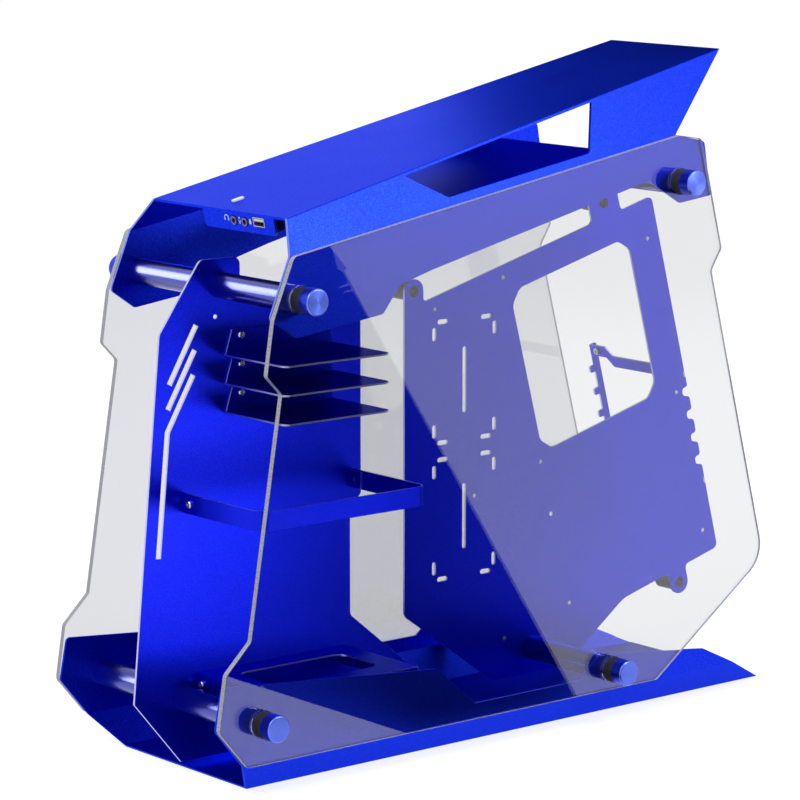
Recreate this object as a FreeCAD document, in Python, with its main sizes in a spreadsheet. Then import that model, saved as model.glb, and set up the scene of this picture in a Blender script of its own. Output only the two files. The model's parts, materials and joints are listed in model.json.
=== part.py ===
import FreeCAD, Part
import math
import os
import Sketcher

# Open frame computer case, in millimetres.
# X runs across the case (+X is the near glass), Y from front to rear, Z up.
# Outlines are drawn with Y = 0 at the front edge of the floor and Z = 0 under it.

DIMS = {
    # sheet, glass and fits
    "sheet": 2.0,
    "thin_sheet": 1.5,
    "glass_thickness": 5.0,
    "fit": 0.3,
    "fold_round": 1.6,
    "thin_fold_round": 1.2,
    "half_width": 99.0,
    "plate_x": 4.0,
    # the four cross axes
    "upper_front_y": 32.0,
    "upper_front_z": 362.0,
    "lower_front_y": -5.0,
    "lower_front_z": 55.2,
    "upper_rear_y": 406.3,
    "upper_rear_z": 420.5,
    "lower_rear_y": 339.7,
    "lower_rear_z": 41.2,
    # pillars, knobs and rubber bushings
    "pillar_diameter": 20.0,
    "stud_diameter": 6.0,
    "stud_reach": 12.0,
    "bore_spare": 2.0,
    "bushing_diameter": 19.6,
    "bushing_length": 13.0,
    "knob_diameter": 20.0,
    "knob_length": 10.5,
    "knob_chamfer": 0.9,
    # base shell
    "floor_half": 76.2,
    "base_fold_z": 24.75,
    "nose_low_y": -44.9,
    "nose_low_z": 55.4,
    "nose_top_y": -38.4,
    "nose_top_z": 87.5,
    "front_tab_y": 161.1,
    "front_tab_z": 69.7,
    "dip_front_y": 199.6,
    "dip_z": 36.9,
    "dip_rear_y": 305.3,
    "hump_y": 328.2,
    "hump_z": 55.0,
    "tail_y": 443.2,
    "tail_z": 40.8,
    "floor_rear_y": 528.1,
    "base_round": 4.0,
    # top shell
    "roof_front_y": 35.7,
    "roof_front_z": 418.1,
    "roof_front_half": 81.9,
    "roof_rear_y": 486.9,
    "roof_rear_z": 517.7,
    "fold_front_y": 25.1,
    "fold_front_z": 393.5,
    "fold_rear_y": 405.0,
    "fold_rear_z": 456.5,
    "flange_nose_y": 6.4,
    "flange_nose_z": 349.1,
    "flange_low_y": 28.4,
    "flange_low_z": 334.0,
    "flange_step_y": 109.2,
    "flange_step_z": 344.1,
    "flange_rise_y": 125.4,
    "flange_rise_z": 364.3,
    "flange_run_y": 156.1,
    "flange_run_z": 372.6,
    "flange_end_y": 374.5,
    "flange_end_z": 422.9,
    "rear_tab_low_y": 408.4,
    "rear_tab_low_z": 403.3,
    "rear_tab_back_y": 443.8,
    "rear_tab_back_z": 407.2,
    "rear_tab_top_y": 436.5,
    "rear_tab_top_z": 449.6,
    "top_round": 4.0,
    # handle window in both sloping walls, and the deck below it
    "window_top_front_y": 147.7,
    "window_top_rear_y": 342.0,
    "window_low_front_y": 177.1,
    "window_low_rear_y": 318.4,
    "window_sill": 5.5,
    "window_round": 5.0,
    "deck_start": 115.0,
    "deck_length": 225.0,
    "deck_drop": 4.0,
    "deck_lip": 12.0,
    # glass panels, which share the shells' front and fold lines
    "glass_neck_y": 0.0,
    "glass_neck_z": 309.1,
    "glass_waist_y": 13.4,
    "glass_waist_z": 295.1,
    "glass_hip_y": -16.0,
    "glass_hip_z": 118.1,
    "glass_brow_y": -38.2,
    "glass_brow_z": 96.8,
    "glass_toe_y": -19.3,
    "glass_heel_y": 387.4,
    "glass_tail_y": 505.1,
    "glass_tail_z": 108.9,
    "glass_back_y": 441.7,
    "glass_back_z": 347.8,
    "glass_spur_y": 452.6,
    "glass_spur_z": 364.6,
    "glass_crest_y": 429.1,
    "glass_crest_z": 452.7,
    "glass_round": 6.0,
    "glass_tail_round": 26.0,
    "glass_waist_round": 4.0,
    # front plate
    "nose_y": -49.6,
    "nose_z": 57.4,
    "plate_bottom_z": 7.0,
    "plate_foot_y": -7.8,
    "brow_y": -23.1,
    "brow_z": 330.2,
    "ear_front": 18.0,
    "ear_rear": 18.5,
    "ear_top": 20.0,
    "plate_top_z": 352.0,
    "plate_rear_y": 163.2,
    "plate_corner": 12.0,
    "plate_step_z": 190.0,
    "plate_step": 10.7,
    "plate_diagonal_z": 95.9,
    "plate_heel_y": 260.4,
    "plate_round": 6.0,
    "vent_width": 4.5,
    "vent_front_y": -14.0,
    "vent_rear_y": 9.0,
    "vent_rise": 39.0,
    "vent_top_z": 333.0,
    "vent_pitch": 18.3,
    "vent_shift": 1.5,
    "vent_tail_y": -26.2,
    "vent_tail_z": 165.7,
    "cable_hole_y": 27.5,
    "cable_hole_z": 339.0,
    "cable_hole": 7.0,
    # drive shelves
    "shelf_front_y": 35.5,
    "shelf_length": 99.8,
    "shelf_depth": 71.0,
    "shelf_top_z": 310.2,
    "shelf_pitch": 21.45,
    "shelf_tab": 18.0,
    "shelf_tab_slant": 6.0,
    "shelf_screw_y": 49.5,
    "shelf_screw_span": 70.0,
    "shelf_screw_rise": 13.5,
    "shelf_round": 6.0,
    # power supply strap and shelf
    "strap_z": 195.5,
    "strap_height": 15.0,
    "strap_front_y": -2.5,
    "strap_rear_y": 155.0,
    "strap_gap": 3.0,
    "strap_round": 8.0,
    "lug_reach": 14.0,
    "lug_height": 13.0,
    "lug_screw_x": 13.0,
    "supply_top_z": 73.3,
    "supply_front_y": 7.2,
    "supply_rear_y": 147.0,
    "supply_lip": 15.0,
    "supply_gap": 5.0,
    "supply_opening_margin": 20.0,
    "supply_round": 10.0,
    # screws
    "screw_diameter": 3.0,
    "screw_head": 6.0,
    "screw_head_height": 2.2,
    "screw_head_chamfer": 0.7,
    # motherboard tray, in a frame turned by board_tilt
    "board_tilt": 15.0,
    "tray_left_y": 206.6,
    "tray_top": 262.0,
    "tray_right": 553.2,
    "tray_bottom": -49.6,
    "tray_low_z": 86.2,
    "tray_nose_z": 20.0,
    "tray_nose_front_y": 298.2,
    "tray_nose_rear_y": 376.8,
    "tray_tail": 443.0,
    "tray_round": 5.0,
    "lug_width": 19.0,
    "lug_hole": 9.0,
    "lug_rise": 21.5,
    "left_lug_top_z": 350.3,
    "ear_left": 486.0,
    "ear_width": 32.0,
    "ear_crown": 14.0,
    "ear_rise": 53.0,
    "ear_hole_rise": 12.0,
    "right_lug": 505.0,
    "cooler_left": 389.7,
    "cooler_right": 519.8,
    "cooler_bottom": 101.8,
    "cooler_top": 238.6,
    "cooler_chamfer": 10.5,
    "card_notch_top": 95.6,
    "card_pitch": 20.32,
    "card_notch_depth": 6.4,
    "card_notch_height": 9.2,
    "card_notch_slant": 2.5,
    # board pattern
    "board_column": 540.6,
    "board_row": 252.8,
    "board_column_second": 154.94,
    "board_column_third": 227.33,
    "board_row_corner": 22.86,
    "board_row_second": 157.48,
    "board_row_third": 281.94,
    "board_row_small": 203.2,
    "standoff_height": 6.5,
    "standoff_width": 5.5,
    # drive slots in the tray
    "drive_y": 267.5,
    "drive_upper_z": 267.0,
    "drive_lower_z": 158.3,
    "small_drive_width": 61.72,
    "small_drive_height": 76.6,
    "large_drive_width": 44.45,
    "large_drive_height": 95.25,
    "drive_slot": 3.8,
    "drive_slot_travel": 6.7,
    "long_slot_travel": 48.5,
    # hollow spacers behind the tray lugs
    "spacer_length": 20.0,
    "spacer_diameter": 15.0,
    # card bracket
    "card_reach": 109.0,
    "card_arm": 9.5,
    "card_arm_top": 111.5,
    "card_arm_low": 16.5,
    "card_jog": 7.5,
    "card_jog_x": 78.0,
    "card_step_x": 86.0,
    "card_bar": 6.5,
    "card_hook": 5.5,
    "card_hook_height": 6.0,
    "card_hook_top": 101.0,
    "card_tongue": 4.0,
    "card_screw_back": 9.0,
    # front connectors, in a frame lying on the roof
    "socket_left": -20.4,
    "socket_right": 65.0,
    "socket_lip": 15.5,
    "socket_round": 3.5,
    "jack_first_x": 17.1,
    "jack_second_x": 30.1,
    "jack_drop": 7.5,
    "jack_diameter": 6.8,
    "jack_block": 7.0,
    "jack_length": 13.0,
    "jack_proud": 0.8,
    "jack_bore": 3.6,
    "jack_bore_depth": 9.0,
    "usb_x": 46.7,
    "usb_drop": 6.35,
    "usb_width": 13.2,
    "usb_height": 7.0,
    "usb_length": 14.0,
    "usb_wall": 0.6,
    "usb_tongue": 1.8,
    "socket_board_depth": 32.0,
    "socket_board_thickness": 1.6,
    # power button and its switch, in the same frame
    "button_x": -3.0,
    "button_run": 20.8,
    "button_length": 11.5,
    "button_width": 5.0,
    "button_proud": 1.2,
    "button_lip": 1.5,
    "button_lip_height": 1.2,
    "button_rest_gap": 0.2,
    "button_travel": 1.2,
    "button_spare": 0.2,
    "switch_size": 6.0,
    "switch_cap": 3.4,
    "switch_cap_height": 0.8,
}

doc = FreeCAD.newDocument("open_frame_case")
sheet_object = doc.addObject("Spreadsheet::Sheet", "Dims")


class Size:
    """A number together with the sheet expression that gives it."""

    def __init__(self, value, text):
        self.value = float(value)
        self.text = text

    def __add__(self, other):
        other = size(other)
        return Size(self.value + other.value, f"({self.text} + {other.text})")

    def __sub__(self, other):
        other = size(other)
        return Size(self.value - other.value, f"({self.text} - {other.text})")

    def __mul__(self, other):
        other = size(other)
        return Size(self.value * other.value, f"({self.text} * {other.text})")

    def __truediv__(self, other):
        other = size(other)
        return Size(self.value / other.value, f"({self.text} / {other.text})")

    def __neg__(self):
        return Size(-self.value, f"(0 - {self.text})")


def size(item):
    """Return item as a Size."""
    return item if isinstance(item, Size) else Size(item, repr(float(item)))


def root(item):
    """Square root of a Size."""
    return Size(math.sqrt(item.value), f"sqrt({item.text})")


def sine(angle):
    """Sine of a Size in degrees."""
    return Size(math.sin(math.radians(angle.value)), f"sin({angle.text})")


def angle_of(slope):
    """Angle in degrees of a Size that is a slope."""
    return Size(math.degrees(math.atan(slope.value)), f"atan({slope.text})")


def cosine(angle):
    """Cosine of a Size in degrees."""
    return Size(math.cos(math.radians(angle.value)), f"cos({angle.text})")


class Named:
    """The sheet's sizes as attributes."""


def fill_sheet():
    """Write the sizes to the sheet and return them as named Sizes."""
    named = Named()
    for row, (name, value) in enumerate(DIMS.items(), start=1):
        sheet_object.set(f"A{row}", name)
        sheet_object.set(f"B{row}", str(value))
        sheet_object.setAlias(f"B{row}", name)
        setattr(named, name, Size(value, f"Dims.{name}"))
    return named


d = fill_sheet()
CENTRE_CELL = f"B{len(DIMS) + 1}"
sheet_object.set(CENTRE_CELL, "0")
sheet_object.setAlias(CENTRE_CELL, "centre_y")
doc.recompute()
centre_y = Size(0.0, "Dims.centre_y")

ZERO = size(0)
START_ANGLE = 10
TRIM_REACH = size(60)
SHELVES = 3
VENTS = 3
CARDS = 4
bodies = []


def bind(item, path, value):
    """Drive one property of item from the sheet."""
    item.setExpression(path, value.text)


def new_body(label, compound=False):
    """Start a body in the case's own frame."""
    body = doc.addObject("PartDesign::Body", label)
    body.Label = label
    body.AllowCompound = compound
    bind(body, "Placement.Base.y", -centre_y)
    bodies.append(body)
    return body


def tilted_start():
    """Placement turned about X, so that its angle can be driven."""
    turn = FreeCAD.Rotation(FreeCAD.Vector(1, 0, 0), START_ANGLE)
    return FreeCAD.Placement(FreeCAD.Vector(0, 0, 0), turn)


def tilt_body(body, angle, origin_y=ZERO, origin_z=ZERO):
    """Turn a body's frame about X by an angle, at a place on the side view."""
    body.Placement = tilted_start()
    bind(body, "Placement.Rotation.Angle", angle)
    bind(body, "Placement.Base.y", origin_y - centre_y)
    bind(body, "Placement.Base.z", origin_z)


def new_sketch(body, role, level=ZERO):
    """Sketch on one of the body's origin planes, moved along its normal."""
    sketch = body.newObject("Sketcher::SketchObject", "sketch")
    planes = [item for item in body.Origin.OriginFeatures if item.Role == role]
    sketch.AttachmentSupport = [(planes[0], "")]
    sketch.MapMode = "FlatFace"
    bind(sketch, "AttachmentOffset.Base.z", level)
    return sketch


def fix_point(sketch, index, position, point):
    """Hold one sketch point at a pair of Sizes."""
    for kind, value in zip(("DistanceX", "DistanceY"), point):
        number = sketch.addConstraint(
            Sketcher.Constraint(kind, -1, 1, index, position, value.value)
        )
        bind(sketch, f"Constraints[{number}]", value)


def vector(point):
    """Sketch vector of a pair of Sizes."""
    return FreeCAD.Vector(point[0].value, point[1].value, 0)


def polygon(sketch, points):
    """Draw a closed outline through points."""
    first = sketch.GeometryCount
    count = len(points)
    for step, point in enumerate(points):
        after = points[(step + 1) % count]
        sketch.addGeometry(Part.LineSegment(vector(point), vector(after)), False)
    for step in range(count):
        after = first + (step + 1) % count
        sketch.addConstraint(
            Sketcher.Constraint("Coincident", first + step, 2, after, 1)
        )
    for step, point in enumerate(points):
        fix_point(sketch, first + step, 1, point)


def rectangle(sketch, low, high):
    """Draw a rectangle between two corners."""
    polygon(sketch, [low, (high[0], low[1]), high, (low[0], high[1])])


def circle(sketch, centre, diameter):
    """Draw a circle."""
    shape = Part.Circle(vector(centre), FreeCAD.Vector(0, 0, 1), diameter.value / 2)
    index = sketch.addGeometry(shape, False)
    fix_point(sketch, index, 3, centre)
    number = sketch.addConstraint(
        Sketcher.Constraint("Diameter", index, diameter.value)
    )
    bind(sketch, f"Constraints[{number}]", diameter)


def hexagon(sketch, centre, width):
    """Draw a hexagon by its width across flats."""
    first, second = centre
    half = width / 2
    corner = width / root(size(3))
    polygon(sketch, [
        (first + corner, second),
        (first + corner / 2, second + half),
        (first - corner / 2, second + half),
        (first - corner, second),
        (first - corner / 2, second - half),
        (first + corner / 2, second - half),
    ])


def slot(sketch, start, end, width):
    """Draw a round-ended slot whose end centres are start and end."""
    begin = vector(start)
    finish = vector(end)
    radius = width.value / 2
    along = math.atan2(finish.y - begin.y, finish.x - begin.x)
    side = FreeCAD.Vector(-math.sin(along), math.cos(along), 0) * radius
    up = FreeCAD.Vector(0, 0, 1)
    quarter = math.pi / 2
    head = Part.ArcOfCircle(
        Part.Circle(begin, up, radius), along + quarter, along + 3 * quarter
    )
    tail = Part.ArcOfCircle(
        Part.Circle(finish, up, radius), along - quarter, along + quarter
    )
    first = sketch.addGeometry(head, False)
    second = sketch.addGeometry(tail, False)
    low = sketch.addGeometry(Part.LineSegment(begin - side, finish - side), False)
    high = sketch.addGeometry(Part.LineSegment(finish + side, begin + side), False)
    for one, one_end, other, other_end in (
        (first, 2, low, 1),
        (low, 2, second, 1),
        (second, 2, high, 1),
        (high, 2, first, 1),
    ):
        sketch.addConstraint(
            Sketcher.Constraint("Tangent", one, one_end, other, other_end)
        )
    fix_point(sketch, first, 3, start)
    fix_point(sketch, second, 3, end)
    number = sketch.addConstraint(Sketcher.Constraint("Radius", first, radius))
    bind(sketch, f"Constraints[{number}]", width / 2)


def pad(body, sketch, length, backward=False, centred=False):
    """Raise a sketch by length."""
    feature = body.newObject("PartDesign::Pad", "pad")
    feature.Profile = sketch
    bind(feature, "Length", length)
    feature.Reversed = backward
    feature.Midplane = centred
    doc.recompute()
    return feature


def pocket(body, sketch, depth=None, backward=False):
    """Cut a sketch to depth, or right through both ways."""
    before = body.Shape.Volume
    feature = body.newObject("PartDesign::Pocket", "pocket")
    feature.Profile = sketch
    if depth is None:
        feature.Type = "ThroughAll"
        feature.Midplane = True
    else:
        bind(feature, "Length", depth)
        feature.Reversed = backward
    doc.recompute()
    if not body.Shape.Volume < before:
        raise RuntimeError(f"{body.Label}: a pocket cut nothing")
    return feature


def trim(body, role, outline):
    """Cut away all that lies outside an outline."""
    firsts = [point[0].value for point in outline]
    seconds = [point[1].value for point in outline]
    sketch = new_sketch(body, role)
    rectangle(
        sketch,
        (size(min(firsts)) - TRIM_REACH, size(min(seconds)) - TRIM_REACH),
        (size(max(firsts)) + TRIM_REACH, size(max(seconds)) + TRIM_REACH),
    )
    polygon(sketch, outline)
    return pocket(body, sketch)


SPOT = 0.01


def near(number, item):
    """Whether a number is that of a Size."""
    return abs(number - item.value) < SPOT


def edges_where(shape, test):
    """Names of the edges whose two ends both pass a test."""
    return [
        f"Edge{number}"
        for number, edge in enumerate(shape.Edges, start=1)
        if len(edge.Vertexes) == 2
        and all(test(vertex.Point) for vertex in edge.Vertexes)
    ]


def edges_at(shape, axis, points):
    """Names of straight edges along one axis that pass through points."""
    first, second = [name for name in "xyz" if name != axis]
    names = []
    for low, high in points:
        names += edges_where(
            shape,
            lambda end: near(getattr(end, first), low) and near(getattr(end, second), high),
        )
    return names


def fillet_edges(body, names, expected, radius):
    """Fillet named edges of the body's last feature."""
    if len(names) < expected:
        raise RuntimeError(f"{body.Label}: {len(names)} of {expected} edges")
    feature = body.Tip
    fillet = body.newObject("PartDesign::Fillet", "fillet")
    fillet.Base = (feature, names)
    bind(fillet, "Radius", radius)
    doc.recompute()


def round_off(body, axis, points, radius):
    """Fillet the edges that run along axis through points."""
    names = edges_at(body.Tip.Shape, axis, points)
    fillet_edges(body, names, len(points), radius)


def ring_names(shape, axis, level, diameter):
    """Names of circular edges of one diameter at one level of an axis."""
    return [
        f"Edge{number}"
        for number, edge in enumerate(shape.Edges, start=1)
        if isinstance(edge.Curve, Part.Circle)
        and abs(edge.Curve.Radius - diameter.value / 2) < SPOT
        and abs(getattr(edge.CenterOfMass, axis) - level.value) < SPOT
    ]


def chamfer_ring(body, axis, level, diameter, depth):
    """Chamfer the round edges of one diameter at one level."""
    feature = body.Tip
    chamfer = body.newObject("PartDesign::Chamfer", "chamfer")
    chamfer.Base = (feature, ring_names(feature.Shape, axis, level, diameter))
    bind(chamfer, "Size", depth)
    doc.recompute()


def ease_heads(body, axis, level):
    """Chamfer the rims of the screw heads that end at one level."""
    chamfer_ring(body, axis, level, d.screw_head, d.screw_head_chamfer)


# shared positions
axes = {
    "upper_front": (d.upper_front_y, d.upper_front_z),
    "lower_front": (d.lower_front_y, d.lower_front_z),
    "upper_rear": (d.upper_rear_y, d.upper_rear_z),
    "lower_rear": (d.lower_rear_y, d.lower_rear_z),
}
plate_near = d.plate_x + d.sheet
flange_inner = d.half_width - d.sheet
stud_hole = d.stud_diameter + d.fit * 2
bushing_hole = d.bushing_diameter + d.fit * 2
screw_hole = d.screw_diameter + d.fit * 2
sides = {"near": 1, "far": -1}
bushing_end = d.half_width + d.bushing_length
tilt_sine = sine(d.board_tilt)
tilt_cosine = cosine(d.board_tilt)


def board(u, v):
    """Point of the tilted board frame as a Y and Z pair."""
    u = size(u)
    v = size(v)
    return u * tilt_cosine - v * tilt_sine, u * tilt_sine + v * tilt_cosine


def wall_bend(rise, run):
    """Tangent of half the angle of a wall that climbs rise over run."""
    return (root(rise * rise + run * run) - run) / rise


def build_base():
    """Folded sheet under the case: floor, sloping walls, upright flanges."""
    body = new_body("base_shell")
    run = d.half_width - d.floor_half
    low_bend = wall_bend(d.base_fold_z, run)
    high_bend = wall_bend(run, d.base_fold_z)
    top = d.nose_top_z + d.sheet
    right = [
        (d.floor_half, ZERO),
        (d.half_width, d.base_fold_z),
        (d.half_width, top),
        (flange_inner, top),
        (flange_inner, d.base_fold_z + d.sheet * high_bend),
        (d.floor_half - d.sheet * low_bend, d.sheet),
    ]
    left = [(-x, z) for x, z in reversed(right)]
    section = new_sketch(body, "XZ_Plane", -(d.nose_low_y - d.sheet))
    polygon(section, right + left)
    pad(body, section, d.floor_rear_y - d.nose_low_y + d.sheet * 2, backward=True)
    folds = [
        (x * sign, z)
        for x, z in ((d.floor_half, ZERO), (d.half_width, d.base_fold_z))
        for sign in sides.values()
    ]
    round_off(body, "y", folds, d.fold_round)
    outline = [
        (ZERO, ZERO),
        (d.nose_low_y, d.nose_low_z),
        (d.nose_top_y, d.nose_top_z),
        (d.front_tab_y, d.front_tab_z),
        (d.dip_front_y, d.dip_z),
        (d.dip_rear_y, d.dip_z),
        (d.hump_y, d.hump_z),
        (d.tail_y, d.tail_z),
        (d.floor_rear_y, ZERO),
    ]
    trim(body, "YZ_Plane", outline)
    holes = new_sketch(body, "YZ_Plane")
    circle(holes, axes["lower_front"], stud_hole)
    circle(holes, axes["lower_rear"], stud_hole)
    pocket(body, holes)
    round_off(body, "x", [outline[1], outline[2], outline[3], outline[6]], d.base_round)


roof_slope = (d.roof_rear_z - d.roof_front_z) / (d.roof_rear_y - d.roof_front_y)
fold_slope = (d.fold_rear_z - d.fold_front_z) / (d.fold_rear_y - d.fold_front_y)


def roof_z(y):
    """Height of the roof's upper face at y."""
    return d.roof_front_z + roof_slope * (y - d.roof_front_y)


def fold_z(y):
    """Height of the fold between sloping wall and flange at y."""
    return d.fold_front_z + fold_slope * (y - d.fold_front_y)


wall_lean = (d.half_width - d.roof_front_half) / (
    d.roof_front_z - fold_z(d.roof_front_y)
)
wall_length = root(wall_lean * wall_lean + 1)


def roof_half(y):
    """Half width of the roof at y, so that the sloping walls stay flat."""
    return d.half_width - wall_lean * (roof_z(y) - fold_z(y))


def roof_sketch(body):
    """Sketch lying on the roof's upper face, from its front edge."""
    sketch = new_sketch(body, "XY_Plane")
    sketch.AttachmentOffset = tilted_start()
    bind(sketch, "AttachmentOffset.Rotation.Angle", angle_of(roof_slope))
    bind(sketch, "AttachmentOffset.Base.y", d.roof_front_y)
    bind(sketch, "AttachmentOffset.Base.z", d.roof_front_z)
    return sketch


def lip_sketch(body):
    """Sketch on the front of the roof's lip, square to the roof."""
    sketch = new_sketch(body, "XZ_Plane")
    sketch.AttachmentOffset = tilted_start()
    bind(sketch, "AttachmentOffset.Rotation.Angle", angle_of(roof_slope))
    bind(sketch, "AttachmentOffset.Base.y", d.roof_front_z)
    bind(sketch, "AttachmentOffset.Base.z", -d.roof_front_y)
    return sketch


def button_ends():
    """End centres of the power button's outline on the roof."""
    half_run = (d.button_length - d.button_width) / 2
    return [
        (d.button_x, d.button_run - half_run),
        (d.button_x, d.button_run + half_run),
    ]


def roof_level(point):
    """Distance of a point from the roof's upper face, square to it."""
    slope = roof_slope.value
    rise = point.z - d.roof_front_z.value - slope * (point.y - d.roof_front_y.value)
    return rise / math.hypot(1, slope)


def roof_folds(shape):
    """Names of the two long edges between the roof and the sloping walls."""
    names = []
    for sign in sides.values():
        names += edges_where(
            shape,
            lambda end: abs(roof_level(end)) < SPOT
            and near(end.x * sign, roof_half(size(end.y))),
        )
    return names


def lip_corners(shape):
    """Names of the two short edges at the lower corners of the roof's lip."""
    names = []
    for x in (d.socket_left, d.socket_right):
        names += edges_where(
            shape,
            lambda end: near(end.x, x) and near(-roof_level(end), d.socket_lip),
        )
    return names


roof_drop = d.sheet * root(roof_slope * roof_slope + 1)


def build_top():
    """Folded top sheet: tapering roof, sloping walls with windows, flanges."""
    body = new_body("top_shell")
    front_y = d.flange_nose_y - d.sheet
    rear_y = d.roof_rear_y + d.sheet
    fold = fold_z(front_y)
    low = fold - (d.fold_front_z - d.flange_low_z) - d.sheet * 3
    rise = roof_z(rear_y) - fold_z(rear_y) + d.sheet
    high_x = d.half_width - wall_lean * rise
    roof = roof_sketch(body)
    roof_run = (d.roof_rear_y - d.roof_front_y) * root(roof_slope * roof_slope + 1)
    rear_half = roof_half(d.roof_rear_y)
    polygon(roof, [
        (-d.roof_front_half, ZERO),
        (d.roof_front_half, ZERO),
        (rear_half, roof_run),
        (-rear_half, roof_run),
    ])
    pad(body, roof, d.sheet, backward=True)
    walls = new_sketch(body, "XZ_Plane", -front_y)
    right = [
        (high_x, fold + rise),
        (d.half_width, fold),
        (d.half_width, low),
        (flange_inner, low),
        (flange_inner, fold - d.sheet * (wall_length - 1) / wall_lean),
        (high_x - d.sheet * wall_length, fold + rise),
    ]
    polygon(walls, right)
    polygon(walls, [(-x, z) for x, z in right])
    sweep = pad(body, walls, rear_y - front_y, backward=True)
    sweep.UseCustomVector = True
    sweep.AlongSketchNormal = True
    sweep.Reversed = False
    sweep.Direction = FreeCAD.Vector(0, 1, fold_slope.value)
    bind(sweep, "Direction.z", fold_slope)
    doc.recompute()
    outline = [
        (d.roof_front_y, d.roof_front_z),
        (d.fold_front_y, d.fold_front_z),
        (d.flange_nose_y, d.flange_nose_z),
        (d.flange_low_y, d.flange_low_z),
        (d.flange_step_y, d.flange_step_z),
        (d.flange_rise_y, d.flange_rise_z),
        (d.flange_run_y, d.flange_run_z),
        (d.flange_end_y, d.flange_end_z),
        (d.rear_tab_low_y, d.rear_tab_low_z),
        (d.rear_tab_back_y, d.rear_tab_back_z),
        (d.rear_tab_top_y, d.rear_tab_top_z),
        (d.fold_rear_y, d.fold_rear_z),
        (d.roof_rear_y, d.roof_rear_z),
    ]
    trim(body, "YZ_Plane", outline)
    fillet_edges(body, roof_folds(body.Tip.Shape), len(sides), d.fold_round)
    window = [
        (d.window_top_front_y, roof_z(d.window_top_front_y) - roof_drop),
        (d.window_low_front_y, fold_z(d.window_low_front_y) + d.window_sill),
        (d.window_low_rear_y, fold_z(d.window_low_rear_y) + d.window_sill),
        (d.window_top_rear_y, roof_z(d.window_top_rear_y) - roof_drop),
    ]
    sketch = new_sketch(body, "YZ_Plane")
    polygon(sketch, window)
    circle(sketch, axes["upper_front"], stud_hole)
    circle(sketch, axes["upper_rear"], stud_hole)
    pocket(body, sketch)
    tab = roof_sketch(body)
    rectangle(tab, (d.socket_left, ZERO), (d.socket_right, d.sheet))
    pad(body, tab, d.socket_lip, backward=True)
    fillet_edges(body, lip_corners(body.Tip.Shape), 2, d.socket_round)
    mouth = roof_sketch(body)
    slot(mouth, *button_ends(), d.button_width)
    pocket(body, mouth, d.sheet * 2)
    sockets = lip_sketch(body)
    for x in (d.jack_first_x, d.jack_second_x):
        circle(sockets, (x, -d.jack_drop), d.jack_diameter + d.fit * 2)
    half_width = d.usb_width / 2 + d.fit
    half_height = d.usb_height / 2 + d.fit
    rectangle(
        sockets,
        (d.usb_x - half_width, -d.usb_drop - half_height),
        (d.usb_x + half_width, -d.usb_drop + half_height),
    )
    pocket(body, sockets, d.sheet)
    corners = [outline[2], outline[3], outline[4], outline[5], outline[8]]
    corners += [outline[9], outline[10]]
    round_off(body, "x", corners, d.top_round)
    round_off(body, "x", window[1:3], d.window_round)


def build_deck():
    """Folded deck under the handle, its lips against the flanges."""
    body = new_body("handle_deck")
    tilt_body(body, angle_of(fold_slope), d.fold_front_y, d.fold_front_z)
    high = -d.deck_drop
    low = high - d.deck_lip
    right = [
        (flange_inner, high),
        (flange_inner, low),
        (flange_inner - d.sheet, low),
        (flange_inner - d.sheet, high - d.sheet),
    ]
    left = [(-x, z) for x, z in reversed(right)]
    section = new_sketch(body, "XZ_Plane", -d.deck_start)
    polygon(section, right + left)
    pad(body, section, d.deck_length, backward=True)
    round_off(body, "y", [(flange_inner, high), (-flange_inner, high)], d.fold_round)


def build_glass(side):
    """One glass panel, outside its flanges and round the bushings."""
    body = new_body(f"glass_{side}")
    level = d.half_width if side == "near" else -d.half_width
    sketch = new_sketch(body, "YZ_Plane", level)
    outline = [
        (d.fold_front_y, d.fold_front_z),
        (d.flange_nose_y, d.flange_nose_z),
        (d.glass_neck_y, d.glass_neck_z),
        (d.glass_waist_y, d.glass_waist_z),
        (d.glass_hip_y, d.glass_hip_z),
        (d.glass_brow_y, d.glass_brow_z),
        (d.nose_low_y, d.nose_low_z),
        (d.glass_toe_y, d.base_fold_z),
        (d.glass_heel_y, d.base_fold_z),
        (d.glass_tail_y, d.glass_tail_z),
        (d.glass_back_y, d.glass_back_z),
        (d.glass_spur_y, d.glass_spur_z),
        (d.glass_crest_y, d.glass_crest_z),
        (d.fold_rear_y, d.fold_rear_z),
    ]
    polygon(sketch, outline)
    for centre in axes.values():
        circle(sketch, centre, bushing_hole)
    pad(body, sketch, d.glass_thickness, backward=side == "far")
    soft = [outline[number] for number in (0, 1, 5, 6, 7, 8, 10, 11, 12)]
    round_off(body, "x", soft, d.glass_round)
    round_off(body, "x", [outline[9]], d.glass_tail_round)
    round_off(body, "x", [outline[number] for number in (2, 3, 4)], d.glass_waist_round)


def rod(body, centre, diameter, start, end):
    """Add a round rod along X between two levels."""
    sketch = new_sketch(body, "YZ_Plane", start)
    circle(sketch, centre, diameter)
    back = end.value < start.value
    pad(body, sketch, start - end if back else end - start, backward=back)


def bore(body, centre, diameter, start, end):
    """Cut a round bore along X between two levels."""
    sketch = new_sketch(body, "YZ_Plane", start)
    circle(sketch, centre, diameter)
    back = end.value < start.value
    pocket(body, sketch, start - end if back else end - start, backward=not back)


def build_pillar(corner, side):
    """Half pillar from a middle plate to one flange, with end bores."""
    centre = axes[corner]
    body = new_body(f"pillar_{side}_{corner}")
    sign = sides[side]
    inner = plate_near if side == "near" else d.plate_x
    outer = flange_inner * sign
    depth = (d.stud_reach + d.bore_spare) * sign
    rod(body, centre, d.pillar_diameter, inner, outer)
    bore(body, centre, stud_hole, outer, outer - depth)
    if side == "near":
        rod(body, centre, d.stud_diameter, inner, d.plate_x - d.stud_reach)
    else:
        bore(body, centre, stud_hole, inner, inner + depth)


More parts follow.
